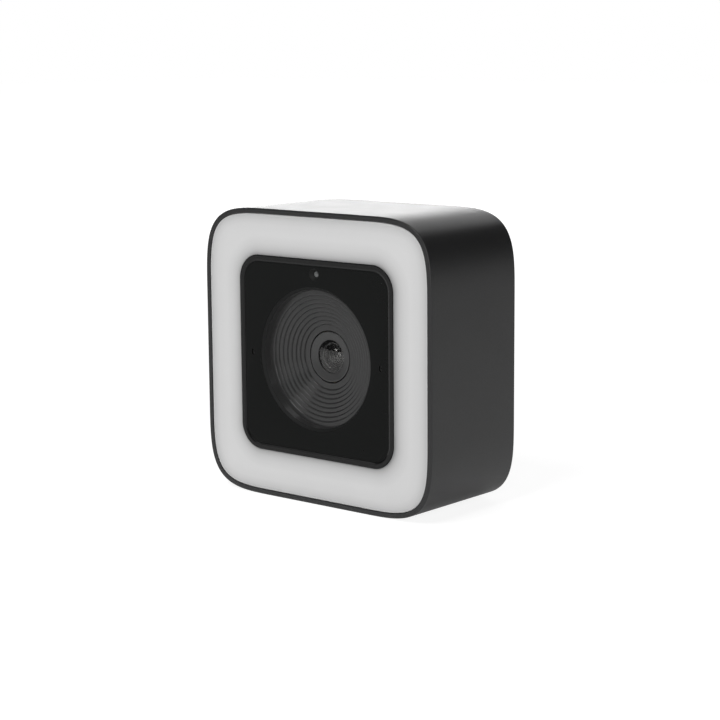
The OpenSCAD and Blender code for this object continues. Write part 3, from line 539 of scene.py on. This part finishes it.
def buildHousing():
    # Sleeve: one closed profile round the body's outline, with the seats for the diffuser in
    # front and for the cover behind, and a bored pad for the tripod bush
    size = {"rim": 1.06*mm, "wall": 1.8*mm, "rearRim": 1.2*mm, "edge": 0.3*mm, "innerEdge": 0.12*mm,
            "foot": 0.03*mm, "padRadius": 5.25*mm, "padHeight": 8.9*mm, "bore": 4.02*mm,
            "flangeGap": 0.02*mm}
    _, seat = depths("light_diffuser")
    cover = depths("rear_cover")[1] - shared["coverThick"]
    corners = [(0, 0), (0, bodyDepth), (-size["rearRim"], bodyDepth), (-size["rearRim"], cover),
               (-size["wall"], cover), (-size["wall"], seat), (-size["rim"], seat), (-size["rim"], 0)]
    edge, inner, foot = size["edge"], size["innerEdge"], size["foot"]
    profile = soften(corners, [edge, edge, inner, foot, inner, inner, foot, inner])
    shell = carry("housingShell", bodyLine, profile)
    bushLow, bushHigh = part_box("tripod_bush")
    flange = (bushHigh.x - bushLow.x)/2
    pad = uprightPost("pad", size["padRadius"], size["wall"]/2, size["padHeight"])
    finished(shell, pad, operation="UNION")
    bore = uprightPost("bore", size["bore"], -overrun, bushHigh.z)
    seatHole = uprightPost("seatHole", flange + size["flangeGap"], -overrun, shared["flangeThick"])
    finished(shell, bore, seatHole)
    wear(shell, "housing_black", "housing")


def buildDiffuser():
    # Opal ring from the body's outline to the panel's, with a small round edge on both sides.
    # The painted shade from the frame leans to the right and a little up.
    size = {"outerIn": 1.11*mm, "innerOut": 0.05*mm, "edge": 0.12*mm, "edgeSteps": 6, "steps": 12,
            "lean": (0.25*mm, 0.05*mm)}
    front, back = depths("light_diffuser")
    outer, inner = -size["outerIn"], size["innerOut"]
    r = size["edge"]
    edge = roundEdge(r, size["edgeSteps"])
    outerEdge = [(0, outer - inwards, front + down) for inwards, down in edge]
    innerEdge = [(1, inner + inwards, front + down) for down, inwards in edge]
    shares = np.linspace(0, 1, size["steps"] + 1)[1:-1]
    middle = [(s, (1 - s)*(outer - r) + s*(inner + r), front) for s in shares]
    rows = outerEdge + middle + innerEdge + [(1, inner, back), (0, outer, back)]
    ring = loft("lightDiffuser", bodyLine, panelLine, rows)
    points = readMesh(ring.data)[0][:, [0, 2]] - (0, axisZ)
    # Distances to the frame, moved by lean, and to the rim, which the opal material turns into painted
    # shade
    tag(ring, "fromFrame", distanceTo(panelLine[0], points - np.array(size["lean"])))
    tag(ring, "fromRim", distanceTo(bodyLine[0] - bodyLine[1]*size["outerIn"], points))
    wear(ring, "opal_white", "light_diffuser")


def buildPanelFrame():
    # Square frame whose front slopes down to the gloss plate inside
    size = {"wall": 1.2*mm, "flat": 0.86*mm, "drop": 0.14*mm, "edge": 0.1*mm, "innerEdge": 0.05*mm,
            "crest": 0.1*mm}
    front, back = depths("panel_frame")
    wall, edge = size["wall"], size["edge"]
    corners = [(0, front), (0, back), (-wall, back), (-wall, front + size["drop"]), (-size["flat"], front)]
    profile = soften(corners, [edge, edge, edge, size["innerEdge"], size["crest"]])
    rim = carry("panelFrame", panelLine, profile)
    wear(rim, "frame_black", "panel_frame")


def buildFrontPanel():
    # Gloss plate from the frame's inside to the bevelled mouth, then slots for two
    # microphones and a dish for the status light. A face is matt if it is sloped: if its
    # normal's share along Y lies between the two slopes.
    size = {"outerIn": 1.25*mm, "edge": 0.1*mm, "edgeSteps": 3, "bevel": 0.52*mm, "land": 0.05*mm,
            "lip": 0.8*mm, "crest": 0.03*mm, "crestTop": (0.02*mm, 0.005*mm), "crestStart": 0.06*mm,
            "slot": (0.75*mm, 1.25*mm), "slotBevel": 0.06*mm, "slotAround": 64, "micX": 17.1*mm,
            "dish": 1.25*mm, "dishDepth": 0.6*mm, "pipe": 0.63*mm, "slopes": (0.05, 0.97)}
    front, back = depths("front_panel")
    outer, bevel, e = -size["outerIn"], size["bevel"], size["edge"]
    crest, (topIn, topDown) = size["crest"], size["crestTop"]
    lip, floor = size["lip"], front + bevel + size["land"]
    mouth = circleLine(shared["mouth"], around)
    rows = [(0, outer, back), (0, outer, front + e)]
    rows += [(0, outer - inwards, front + down) for inwards, down in roundEdge(e, size["edgeSteps"])]
    rows += [(0, outer - 2*e, front), (1, bevel + size["crestStart"], front),
             (1, bevel + topIn, front + topDown), (1, bevel - crest, front + crest),
             (1, crest, front + bevel - crest), (1, 0, front + bevel), (1, 0, floor), (1, lip, floor),
             (1, lip, back)]
    plate = loft("frontPanel", panelLine, mouth, rows)
    wide, high = size["slot"]
    slot = cornered(wide, high, wide/2, size["slotAround"])
    b = size["slotBevel"]
    slotSides = np.array([(2*b, front - b), (0, front + b), (0, back + overrun)])
    cutters = [carry("slot", slot, slotSides, capped=True, place=(x, 0))
               for x in (-size["micX"], size["micX"])]
    up = (0, shared["statusZ"])
    cutters.append(lyingPost("dish", size["dish"], front - proud, front + size["dishDepth"],
                             up, size["pipe"]))
    cutters.append(lyingPost("pipeHole", size["pipe"], front, back + overrun, up))
    finished(plate, *cutters)
    normals = np.empty(len(plate.data.polygons)*3, dtype=np.float32)
    plate.data.polygons.foreach_get("normal", normals)
    lean = np.abs(normals[1::3])
    least, most = size["slopes"]
    tag(plate, "matt", (lean > least) & (lean < most), domain="FACE")
    wear(plate, "panel_black", "front_panel")


def buildCone():
    # Stepped recess: a lip under the plate's bevel, then a riser and a tread for each step.
    # The inner edge of each tread is well rounded, its corner at the foot is tight, and a
    # riser leans inwards by its draft. The shares say how much of its side each arc may take.
    size = {"steps": 9, "top": 13.9*mm, "floor": 5.9*mm, "depth": 2.95*mm, "bore": 5.4*mm,
            "lip": 0.75*mm, "collar": 1.2*mm, "wall": 1*mm, "flange": 0.95*mm,
            "draft": 0.15*mm, "wallDraft": 0.2*mm, "ridge": 0.25*mm, "foot": 0.03*mm,
            "boreEdge": 0.1*mm, "support": 0.02*mm,
            "ridgeShare": 0.72, "footShare": 0.25, "otherShare": 0.3, "around": 256}
    lipFront, back = depths("lens_cone")
    _, front = depths("front_panel")
    n = size["steps"]
    i = np.arange(1, n)
    radius = size["top"] - i*(size["top"] - size["floor"])/n
    rise, mouth = size["depth"]/n, shared["mouth"]
    steps = np.stack([np.ravel(np.column_stack([radius, radius - size["draft"]])),
                      front + np.ravel(np.column_stack([i, i + 1]))*rise], axis=1)
    lip, floor, bore = mouth + size["lip"], front + size["depth"], size["bore"]
    before = [(lip, front), (lip, lipFront), (mouth, lipFront), (mouth - size["wallDraft"], front + rise)]
    after = [(bore, floor), (bore, back), (bore + size["collar"], back),
             (bore + size["collar"], floor + size["wall"]),
             (lip + size["flange"], front + size["wall"]), (lip + size["flange"], front)]
    corners = np.vstack([before, steps, after])
    ridge, foot, other = size["ridge"], size["foot"], size["otherShare"]
    radii = [foot]*4 + [ridge, foot]*(n - 1) + [size["boreEdge"]] + [foot]*5
    shares = [other]*4 + [size["ridgeShare"], size["footShare"]]*(n - 1) + [other]*6
    profile = soften(corners, radii, support=size["support"], most=shares)
    cone = turned("lensCone", profile, around=size["around"])
    wear(cone, "recess_grey", "lens_cone")


def buildBarrel():
    # Lens barrel: sloped face round the glass, and the neck that the carrier holds
    size = {"head": 5.2*mm, "headLong": 2*mm, "neck": 4.4*mm, "pupil": 3.44*mm, "bore": 3.92*mm,
            "slope": 0.37*mm, "lip": 0.55*mm, "faceEdge": 4.9*mm,
            "edge": 0.18*mm, "smallEdge": 0.1*mm, "pupilEdge": 0.06*mm, "foot": 0.03*mm}
    front, back = depths("lens_barrel")
    corners = [(size["head"], front), (size["head"], front + size["headLong"]),
               (size["neck"], front + size["headLong"]), (size["neck"], back), (size["bore"], back),
               (size["bore"], front + size["lip"]), (size["pupil"], front + size["lip"]),
               (size["pupil"], front + size["slope"]), (size["faceEdge"], front)]
    small, foot = size["smallEdge"], size["foot"]
    radii = [size["edge"], small, small, small, small, foot, foot, size["pupilEdge"], small]
    barrel = turned("lensBarrel", soften(corners, radii))
    wear(barrel, "barrel_grey", "lens_barrel", body="lens")


# Radii of the sphere in front and of its cap's rim, and the same of the hollow at the back
# where there is one
elements = {
    "lensFrontElement": {"node": "lens_front_element", "dome": 14*mm, "domeRim": 3.42*mm,
                         "bowl": 3.6*mm, "bowlRim": 2.4*mm},
    "lensMiddleElement": {"node": "lens_middle_element", "dome": 6*mm, "domeRim": 2.4*mm},
}
elementShape = {"edge": 3.9*mm, "bevel": 0.05*mm, "domeSteps": 23, "bowlSteps": 19, "around": 96}


def capHeight(q, sphere, rim):
    # Height of a sphere's cap over its rim: sqrt(sphere^2 - q^2) less sqrt(sphere^2 - rim^2)
    return np.sqrt(sphere**2 - q**2) - np.sqrt(sphere**2 - rim**2)


def buildElement(name, size):
    # A lens element: a spherical cap in front, a hollow or flat back, and a ground edge
    front, back = depths(size["node"])
    edge, bevel = elementShape["edge"], elementShape["bevel"]
    q = np.linspace(pole, size["domeRim"], elementShape["domeSteps"] + 1)
    rise = capHeight(q, size["dome"], size["domeRim"])
    flat = front + rise.max()
    profile = [(a, flat - b) for a, b in zip(q, rise)] + [(edge - bevel, flat), (edge, flat + bevel)]
    profile += [(edge, back - bevel), (edge - bevel, back)]
    if "bowl" in size:
        q = np.linspace(size["bowlRim"], pole, elementShape["bowlSteps"] + 1)
        profile += [(a, back - b) for a, b in zip(q, capHeight(q, size["bowl"], size["bowlRim"]))]
    else:
        profile += [(edge/2, back), (pole, back)]
    element = turned(name, np.array(profile), around=elementShape["around"], capped=True)
    wear(element, "lens_glass", size["node"], body="lens")


def buildStatusPipe():
    # Clear pin whose domed end sits in the dish: it falls back by the square of the radius
    size = {"radius": 0.58*mm, "dome": 0.1*mm, "collar": 1.0*mm, "collarLong": 0.8*mm,
            "domeSteps": 9, "around": 48}
    front, back = depths("status_light_pipe")
    _, collar = depths("front_panel")
    collarEnd = collar + size["collarLong"]
    q = np.linspace(pole, size["radius"], size["domeSteps"] + 1)
    dome = [(a, front + size["dome"]*(a/size["radius"])**2) for a in q]
    body = [(size["radius"], collar), (size["collar"], collar), (size["collar"], collarEnd),
            (size["radius"], collarEnd), (size["radius"], back), (pole, back)]
    pin = turned("statusLightPipe", np.array(dome + body), around=size["around"], capped=True,
                 place=(0, shared["statusZ"]))
    wear(pin, "light_pipe_clear", "status_light_pipe")


def buildRearCover():
    # Cover with a soft edge, a slot for the socket in a recess for the plug's grip, and four
    # countersunk screw holes. The grip's recess has a rounded foot and a bevelled mouth. The
    # rings say how far inside the rim the last ring of the front and of the back lies.
    size = {"inset": 1.25*mm, "edge": 0.25*mm, "edgeSteps": 5, "blend": 0.05*mm, "frontRing": 2*mm,
            "backRing": 3*mm, "slot": (9.3*mm, 3.52*mm), "slotAround": 96, "gripAround": 128,
            "grip": (12.8*mm, 7*mm, 7/3*mm), "gripDeep": 1*mm, "gripBevel": 0.15*mm,
            "gripFoot": [(-0.3*mm, 0), (-0.15*mm, 0.04*mm), (-0.04*mm, 0.15*mm), (0, 0.3*mm)],
            "sink": 1.93*mm, "shank": 0.98*mm, "sinkDeep": 1*mm}
    _, back = depths("rear_cover")
    front = back - shared["coverThick"]
    inset, edge, blend = -size["inset"], size["edge"], size["blend"]
    rows = [(inset - size["frontRing"], front), (inset - edge, front), (inset, front + blend),
            (inset, back - edge - blend)]
    rows += [(inset - inwards, back - up) for inwards, up in roundEdge(edge, size["edgeSteps"])]
    rows += [(inset - edge - blend, back), (inset - size["backRing"], back)]
    cover = carry("rearCover", bodyLine, np.array(rows), capped=True)
    cutters = []
    for place in screwPlaces:
        cutters.append(lyingPost("shank", size["shank"], front - overrun, back + overrun, place))
        cutters.append(lyingPost("sink", size["shank"], back - size["sinkDeep"], back + proud,
                                 place, size["sink"]))
    slot = stadium(*size["slot"], size["slotAround"])
    slotSides = np.array([(0, front - overrun), (0, back + overrun)])
    cutters.append(carry("slot", slot, slotSides, capped=True, place=shared["socketPlace"]))
    grip = cornered(*size["grip"], size["gripAround"])
    deep, bevel = size["gripDeep"], size["gripBevel"]
    gripSides = [(offset, back - deep + rise) for offset, rise in size["gripFoot"]]
    gripSides += [(0, back - bevel), (bevel, back), (bevel, back + overrun)]
    cutters.append(carry("grip", grip, np.array(gripSides), capped=True, place=shared["socketPlace"]))
    finished(cover, *cutters)
    wear(cover, "cover_black", "rear_cover")


def buildCoverScrews():
    # Countersunk screws with a cross recess; the head's edge is a short curve
    size = {"head": 1.9*mm, "shank": 0.95*mm, "headLong": 1*mm, "long": 6*mm, "tip": 0.3*mm,
            "headEdge": [(0.15*mm, 0), (0.05*mm, 0.03*mm), (0, 0.12*mm)],
            "slotWide": 0.42*mm, "slotReach": 1.25*mm, "slotDeep": 0.75*mm, "slotTaper": (0.8, 0.6),
            "slotOver": 0.2*mm, "around": 48}
    _, back = depths("cover_screws")
    head, shank, end = size["head"], size["shank"], back - size["long"]
    profile = [(pole, back)]
    profile += [(head - inwards, back - down) for inwards, down in size["headEdge"]]
    profile += [(shank, back - size["headLong"]), (shank, end + size["tip"]), (shank - size["tip"], end),
                (pole, end)]
    screws = []
    for place in screwPlaces:
        screw = turned("screw", np.array(profile), around=size["around"], capped=True, place=place)
        bars = [crossBar(place, back, size, lying) for lying in (True, False)]
        screws.append(finished(screw, *bars))
    whole = joined("coverScrews", screws)
    wear(whole, "screw_black", "cover_screws")


def crossBar(place, back, size, lying):
    # One bar of a cross recess, lying along X or upright along Z, that narrows by the taper
    # as it goes into the screw's head
    corners = np.array([(-1, -1), (1, -1), (1, 1), (-1, 1)])
    mouth = np.array([size["slotWide"]/2, size["slotReach"]])
    foot = mouth*size["slotTaper"]
    rings = []
    for half, depth in ((foot, back - size["slotDeep"]), (mouth, back + size["slotOver"])):
        flat = corners*(half[::-1] if lying else half)
        y = np.full(len(corners), frontY + depth)
        rings.append(np.stack([flat[:, 0] + place[0], y, flat[:, 1] + axisZ + place[1]], axis=1))
    return bridged("bar", *rings)


def buildBush():
    # Brass bush with a flange; the bore's wall follows a thread: its radius rises and falls
    # once per pitch of z/pitch - angle/turn, and the thread runs in and out over a share of
    # a pitch at its two ends
    size = {"flange": 4.6*mm, "outer": 4*mm, "height": 8*mm, "edge": 0.06*mm, "bore": 3.18*mm,
            "boreDeep": 6.5*mm, "bevel": 0.35*mm, "pitch": 1.27*mm, "crest": 0.55*mm,
            "toothSlope": 1.3, "toothLand": 0.15, "runIn": 0.6, "runOut": 0.8,
            "around": 160, "perPitch": 14}
    count, deep, pitch = size["around"], size["boreDeep"], size["pitch"]
    rowCount = int(deep/pitch*size["perPitch"])
    a = np.linspace(0, 2*np.pi, count, endpoint=False)[None, :]
    z = np.linspace(0, deep, rowCount)[:, None]
    wave = np.abs(((z/pitch - a/(2*np.pi)) % 1)*2 - 1)
    tooth = np.clip(wave*size["toothSlope"] - size["toothLand"], 0, 1)*size["crest"]
    ends = np.clip(z/(size["runIn"]*pitch), 0, 1)*np.clip((deep - z)/(size["runOut"]*pitch), 0, 1)
    inner = size["bore"] - tooth*ends
    inner[0] = size["bore"] + size["bevel"]
    inner[1] = np.maximum(inner[1], size["bore"])
    outside = soften([(size["flange"], 0), (size["flange"], shared["flangeThick"]),
                      (size["outer"], shared["flangeThick"]), (size["outer"], size["height"])],
                     size["edge"], steps=3)
    radius = np.vstack([np.broadcast_to(outside[::-1, :1], (len(outside), count)), inner])
    height = np.vstack([np.broadcast_to(outside[::-1, 1:], (len(outside), count)),
                        np.broadcast_to(z, (rowCount, count))])
    points = np.stack([np.cos(a)*radius, np.sin(a)*radius, height], axis=-1).reshape(-1, 3)
    rows = len(radius)
    points = np.vstack([points, (0, 0, size["height"]), (0, 0, deep)])
    faces = gridFaces(rows, count, False)
    faces += fan(0, rows*count, count, backwards=True)
    faces += fan((rows - 1)*count, rows*count + 1, count)
    bush = addMesh("tripodBush", points, faces)
    wear(bush, "bush_brass", "tripod_bush")


def buildSocket():
    # Drawn steel shell with a rolled mouth, and the tongue with its rows of contacts
    size = {"shell": (8.94*mm, 3.16*mm), "wall": 0.3*mm, "edge": 0.13*mm, "rearEdge": 0.05*mm,
            "support": 0.02*mm, "shellAround": 128, "footPlay": 0.04*mm, "footLong": 1*mm,
            "bladeSink": 0.1*mm, "tongue": (6.7*mm, 0.7*mm), "tongueRadius": 0.1*mm,
            "tongueEdge": 0.12*mm, "tongueNose": (0.4, 0.8), "tongueAround": 96,
            "contacts": 12, "pitch": 0.5*mm, "contact": (0.27*mm, 2.2*mm, 0.03*mm), "contactBack": 0.35*mm}
    place = shared["socketPlace"]
    front, back = depths("usb_shell")
    wall, edge, rearEdge = size["wall"], size["edge"], size["rearEdge"]
    line = stadium(*size["shell"], size["shellAround"])
    corners = [(0, front), (0, back), (-wall, back), (-wall, front)]
    profile = soften(corners, [rearEdge, edge, edge, rearEdge], steps=4, support=size["support"])
    shell = carry("usbShell", line, profile, place=place)
    wear(shell, "screw_steel", "usb_shell")

    _, tip = depths("usb_tongue")
    base = stadium(*[side - 2*wall - size["footPlay"] for side in size["shell"]], size["tongueAround"])
    footEnd = front + size["footLong"]
    foot = carry("foot", base, np.array([(0, front), (0, footEnd)]), capped=True, place=place)
    blade = cornered(*size["tongue"], size["tongueRadius"], size["tongueAround"])
    e, (noseIn, noseBack) = size["tongueEdge"], size["tongueNose"]
    rows = [(0, footEnd - size["bladeSink"]), (0, tip - 2*e), (-e*noseIn, tip - e*noseBack), (-e, tip)]
    tongue = carry("blade", blade, np.array(rows), capped=True, place=place)
    whole = joined("usbTongue", [finished(foot, tongue, operation="UNION")])
    wear(whole, "inner_black", "usb_tongue")

    width, long, high = size["contact"]
    index = np.arange(size["contacts"]) - (size["contacts"] - 1)/2
    box = np.array([(x, y, z) for x in (-1, 1) for y in (-1, 1) for z in (-1, 1)])/2
    sides = np.array([(0, 1, 3, 2), (4, 6, 7, 5), (0, 4, 5, 1), (2, 3, 7, 6), (0, 2, 6, 4), (1, 5, 7, 3)])
    away = size["tongue"][1]/2 + high/2
    middles = np.array([(x*size["pitch"], frontY + tip - size["contactBack"] - long/2,
                         axisZ + place[1] + s*away) for s in (-1, 1) for x in index])
    points = (middles[:, None, :] + box[None]*(width, long, high)).reshape(-1, 3)
    faces = (np.arange(len(middles))[:, None, None]*len(box) + sides[None]).reshape(-1, 4).tolist()
    contacts = addMesh("usbContacts", points, faces)
    wear(contacts, "microphone_gold")


buildHousing()
buildDiffuser()
buildPanelFrame()
buildFrontPanel()
buildCone()
print("front built")
buildBarrel()
for name, size in elements.items():
    buildElement(name, size)
buildStatusPipe()
print("lens built")
buildRearCover()
buildCoverScrews()
buildBush()
buildSocket()
print("back and underside built")


def buildCamera():
    # Camera fitted to the photograph's outline: it looks at target from azimuth and
    # elevation, turned by roll about its own axis
    shot = {"azimuth": 40.244, "elevation": 9.61, "roll": -0.463, "distance": 394.57*mm,
            "target": (0.518*mm, 0.0, 28.139*mm), "focalPixels": 1907.34, "framePixels": 720,
            "sensorWidth": 36, "clip": (0.01, 100)}
    azimuth, elevation, roll = np.radians([shot["azimuth"], shot["elevation"], shot["roll"]])
    back = np.array([np.sin(azimuth)*np.cos(elevation), -np.cos(azimuth)*np.cos(elevation),
                     np.sin(elevation)])
    right = np.array([np.cos(azimuth), np.sin(azimuth), 0])
    up = np.cross(back, right)
    rolledRight = right*np.cos(roll) + up*np.sin(roll)
    rolledUp = up*np.cos(roll) - right*np.sin(roll)
    data = bpy.data.cameras.new("camera")
    data.sensor_width = shot["sensorWidth"]
    data.lens = shot["focalPixels"]/shot["framePixels"]*data.sensor_width
    data.clip_start, data.clip_end = shot["clip"]
    camera = bpy.data.objects.new("camera", data)
    turn = Matrix(np.stack([rolledRight, rolledUp, back], axis=1).tolist()).to_4x4()
    camera.matrix_world = Matrix.Translation(Vector(shot["target"]) + Vector(back)*shot["distance"]) @ turn
    bpy.context.scene.collection.objects.link(camera)
    bpy.context.scene.camera = camera


# Where each lamp stands, its size, and its radiance. All of them face lampTarget.
lampTarget = (0, 0, 30*mm)
lamps = {
    "topLamp": ((0.0, 0.0, 1.2), (0.8, 0.8), 0.54),
    "keyLamp": ((0.0, -0.7, 1.0), (0.42, 0.42), 9.8),
    "leftLamp": ((-0.75, -0.95, 0.6), (0.3, 0.3), 1.6),
    "rightLamp": ((0.85, -0.9, 0.45), (0.6, 0.6), 4.3),
    "lowBackLamp": ((-0.85, 0.92, 0.22), (1.5, 0.4), 5.5),
    "highBackLamp": ((-0.4, 1.0, 0.75), (0.9, 0.4), 1.5),
}


def buildLamp(name, place, size, radiance):
    # A rectangular lamp of even radiance, hidden from the camera: its power is radiance
    # times area times pi
    data = bpy.data.lights.new(name, "AREA")
    data.shape = "RECTANGLE"
    data.size, data.size_y = size
    data.energy = radiance*size[0]*size[1]*np.pi
    lamp = bpy.data.objects.new(name, data)
    lamp.location = place
    lamp.rotation_euler = (Vector(lampTarget) - Vector(place)).to_track_quat("-Z", "Y").to_euler()
    lamp.visible_camera = False
    bpy.context.scene.collection.objects.link(lamp)


def addMix(tree, factor, first, second):
    # Mixes two shaders: the first where the factor is 0, the second where it is 1
    mix = addNode(tree, "ShaderNodeMixShader")
    for source, socket in zip((factor, first, second), mix.inputs):
        tree.links.new(source, socket)
    return mix.outputs["Shader"]


def buildWorld():
    # White surroundings for the camera, and a faint even light for everything else
    ambient = 0.01
    world = bpy.data.worlds.new("studio")
    bpy.context.scene.world = world
    world.use_nodes = True
    tree = world.node_tree
    tree.nodes.clear()
    out = addNode(tree, "ShaderNodeOutputWorld")
    seen = addNode(tree, "ShaderNodeBackground", Color=(1, 1, 1, 1), Strength=1.0)
    lit = addNode(tree, "ShaderNodeBackground", Color=(1, 1, 1, 1), Strength=ambient)
    path = addNode(tree, "ShaderNodeLightPath")
    mixed = addMix(tree, path.outputs["Is Camera Ray"], lit.outputs["Background"],
                   seen.outputs["Background"])
    tree.links.new(mixed, out.inputs["Surface"])


def addGlowingMatt(tree, color, glow):
    # A matt surface with a white glow; returns its shader and the socket of the glow's strength
    matt = addNode(tree, "ShaderNodeBsdfDiffuse", Color=(*color, 1))
    light = addNode(tree, "ShaderNodeEmission", Color=(1, 1, 1, 1), Strength=glow)
    both = addNode(tree, "ShaderNodeAddShader")
    tree.links.new(matt.outputs["BSDF"], both.inputs[0])
    tree.links.new(light.outputs["Emission"], both.inputs[1])
    return both.outputs["Shader"], light.inputs["Strength"]


def buildFloor():
    # Pale floor that keeps the part's shadow and lets the view from below through. All rays
    # but the camera's meet color and glow. The camera meets shadeColor and a glow that rises
    # from shadeGlow near the part to 1 at fadeEnd from the origin, so that glow + colour *
    # light reaches white away from the part.
    size = {"side": 6.0, "drop": 0.03*mm, "color": (0.82, 0.82, 0.82), "glow": 0.26,
            "shadeColor": (0.3, 0.3, 0.3), "shadeGlow": 0.88, "fadeStart": 0.1, "fadeEnd": 0.7}
    half, down = size["side"]/2, size["drop"]
    mesh = bpy.data.meshes.new("floor")
    corners = [(-half, -half, -down), (half, -half, -down), (half, half, -down), (-half, half, -down)]
    mesh.from_pydata(corners, [], [(0, 1, 2, 3)])
    floor = bpy.data.objects.new("floor", mesh)
    bpy.context.scene.collection.objects.link(floor)
    material = bpy.data.materials.new("floor")
    material.use_nodes = True
    tree = material.node_tree
    tree.nodes.clear()
    link = tree.links.new
    where = addNode(tree, "ShaderNodeTexCoord")
    far = addNode(tree, "ShaderNodeVectorMath", "LENGTH")
    rise = addNode(tree, "ShaderNodeMapRange", From_Min=size["fadeStart"], From_Max=size["fadeEnd"],
                   To_Min=size["shadeGlow"], To_Max=1.0)
    link(where.outputs["Object"], far.inputs[0])
    link(far.outputs["Value"], rise.inputs["Value"])
    lit, _ = addGlowingMatt(tree, size["color"], size["glow"])
    seen, seenGlow = addGlowingMatt(tree, size["shadeColor"], size["shadeGlow"])
    link(rise.outputs["Result"], seenGlow)
    path = addNode(tree, "ShaderNodeLightPath")
    side = addNode(tree, "ShaderNodeNewGeometry")
    clear = addNode(tree, "ShaderNodeBsdfTransparent")
    above = addMix(tree, path.outputs["Is Camera Ray"], lit, seen)
    whole = addMix(tree, side.outputs["Backfacing"], above, clear.outputs["BSDF"])
    out = addNode(tree, "ShaderNodeOutputMaterial")
    link(whole, out.inputs["Surface"])
    mesh.materials.append(material)


buildCamera()
buildWorld()
buildFloor()
for name, (place, size, radiance) in lamps.items():
    buildLamp(name, place, size, radiance)
bpy.context.scene.view_settings.view_transform = "Standard"
print("camera and studio built")
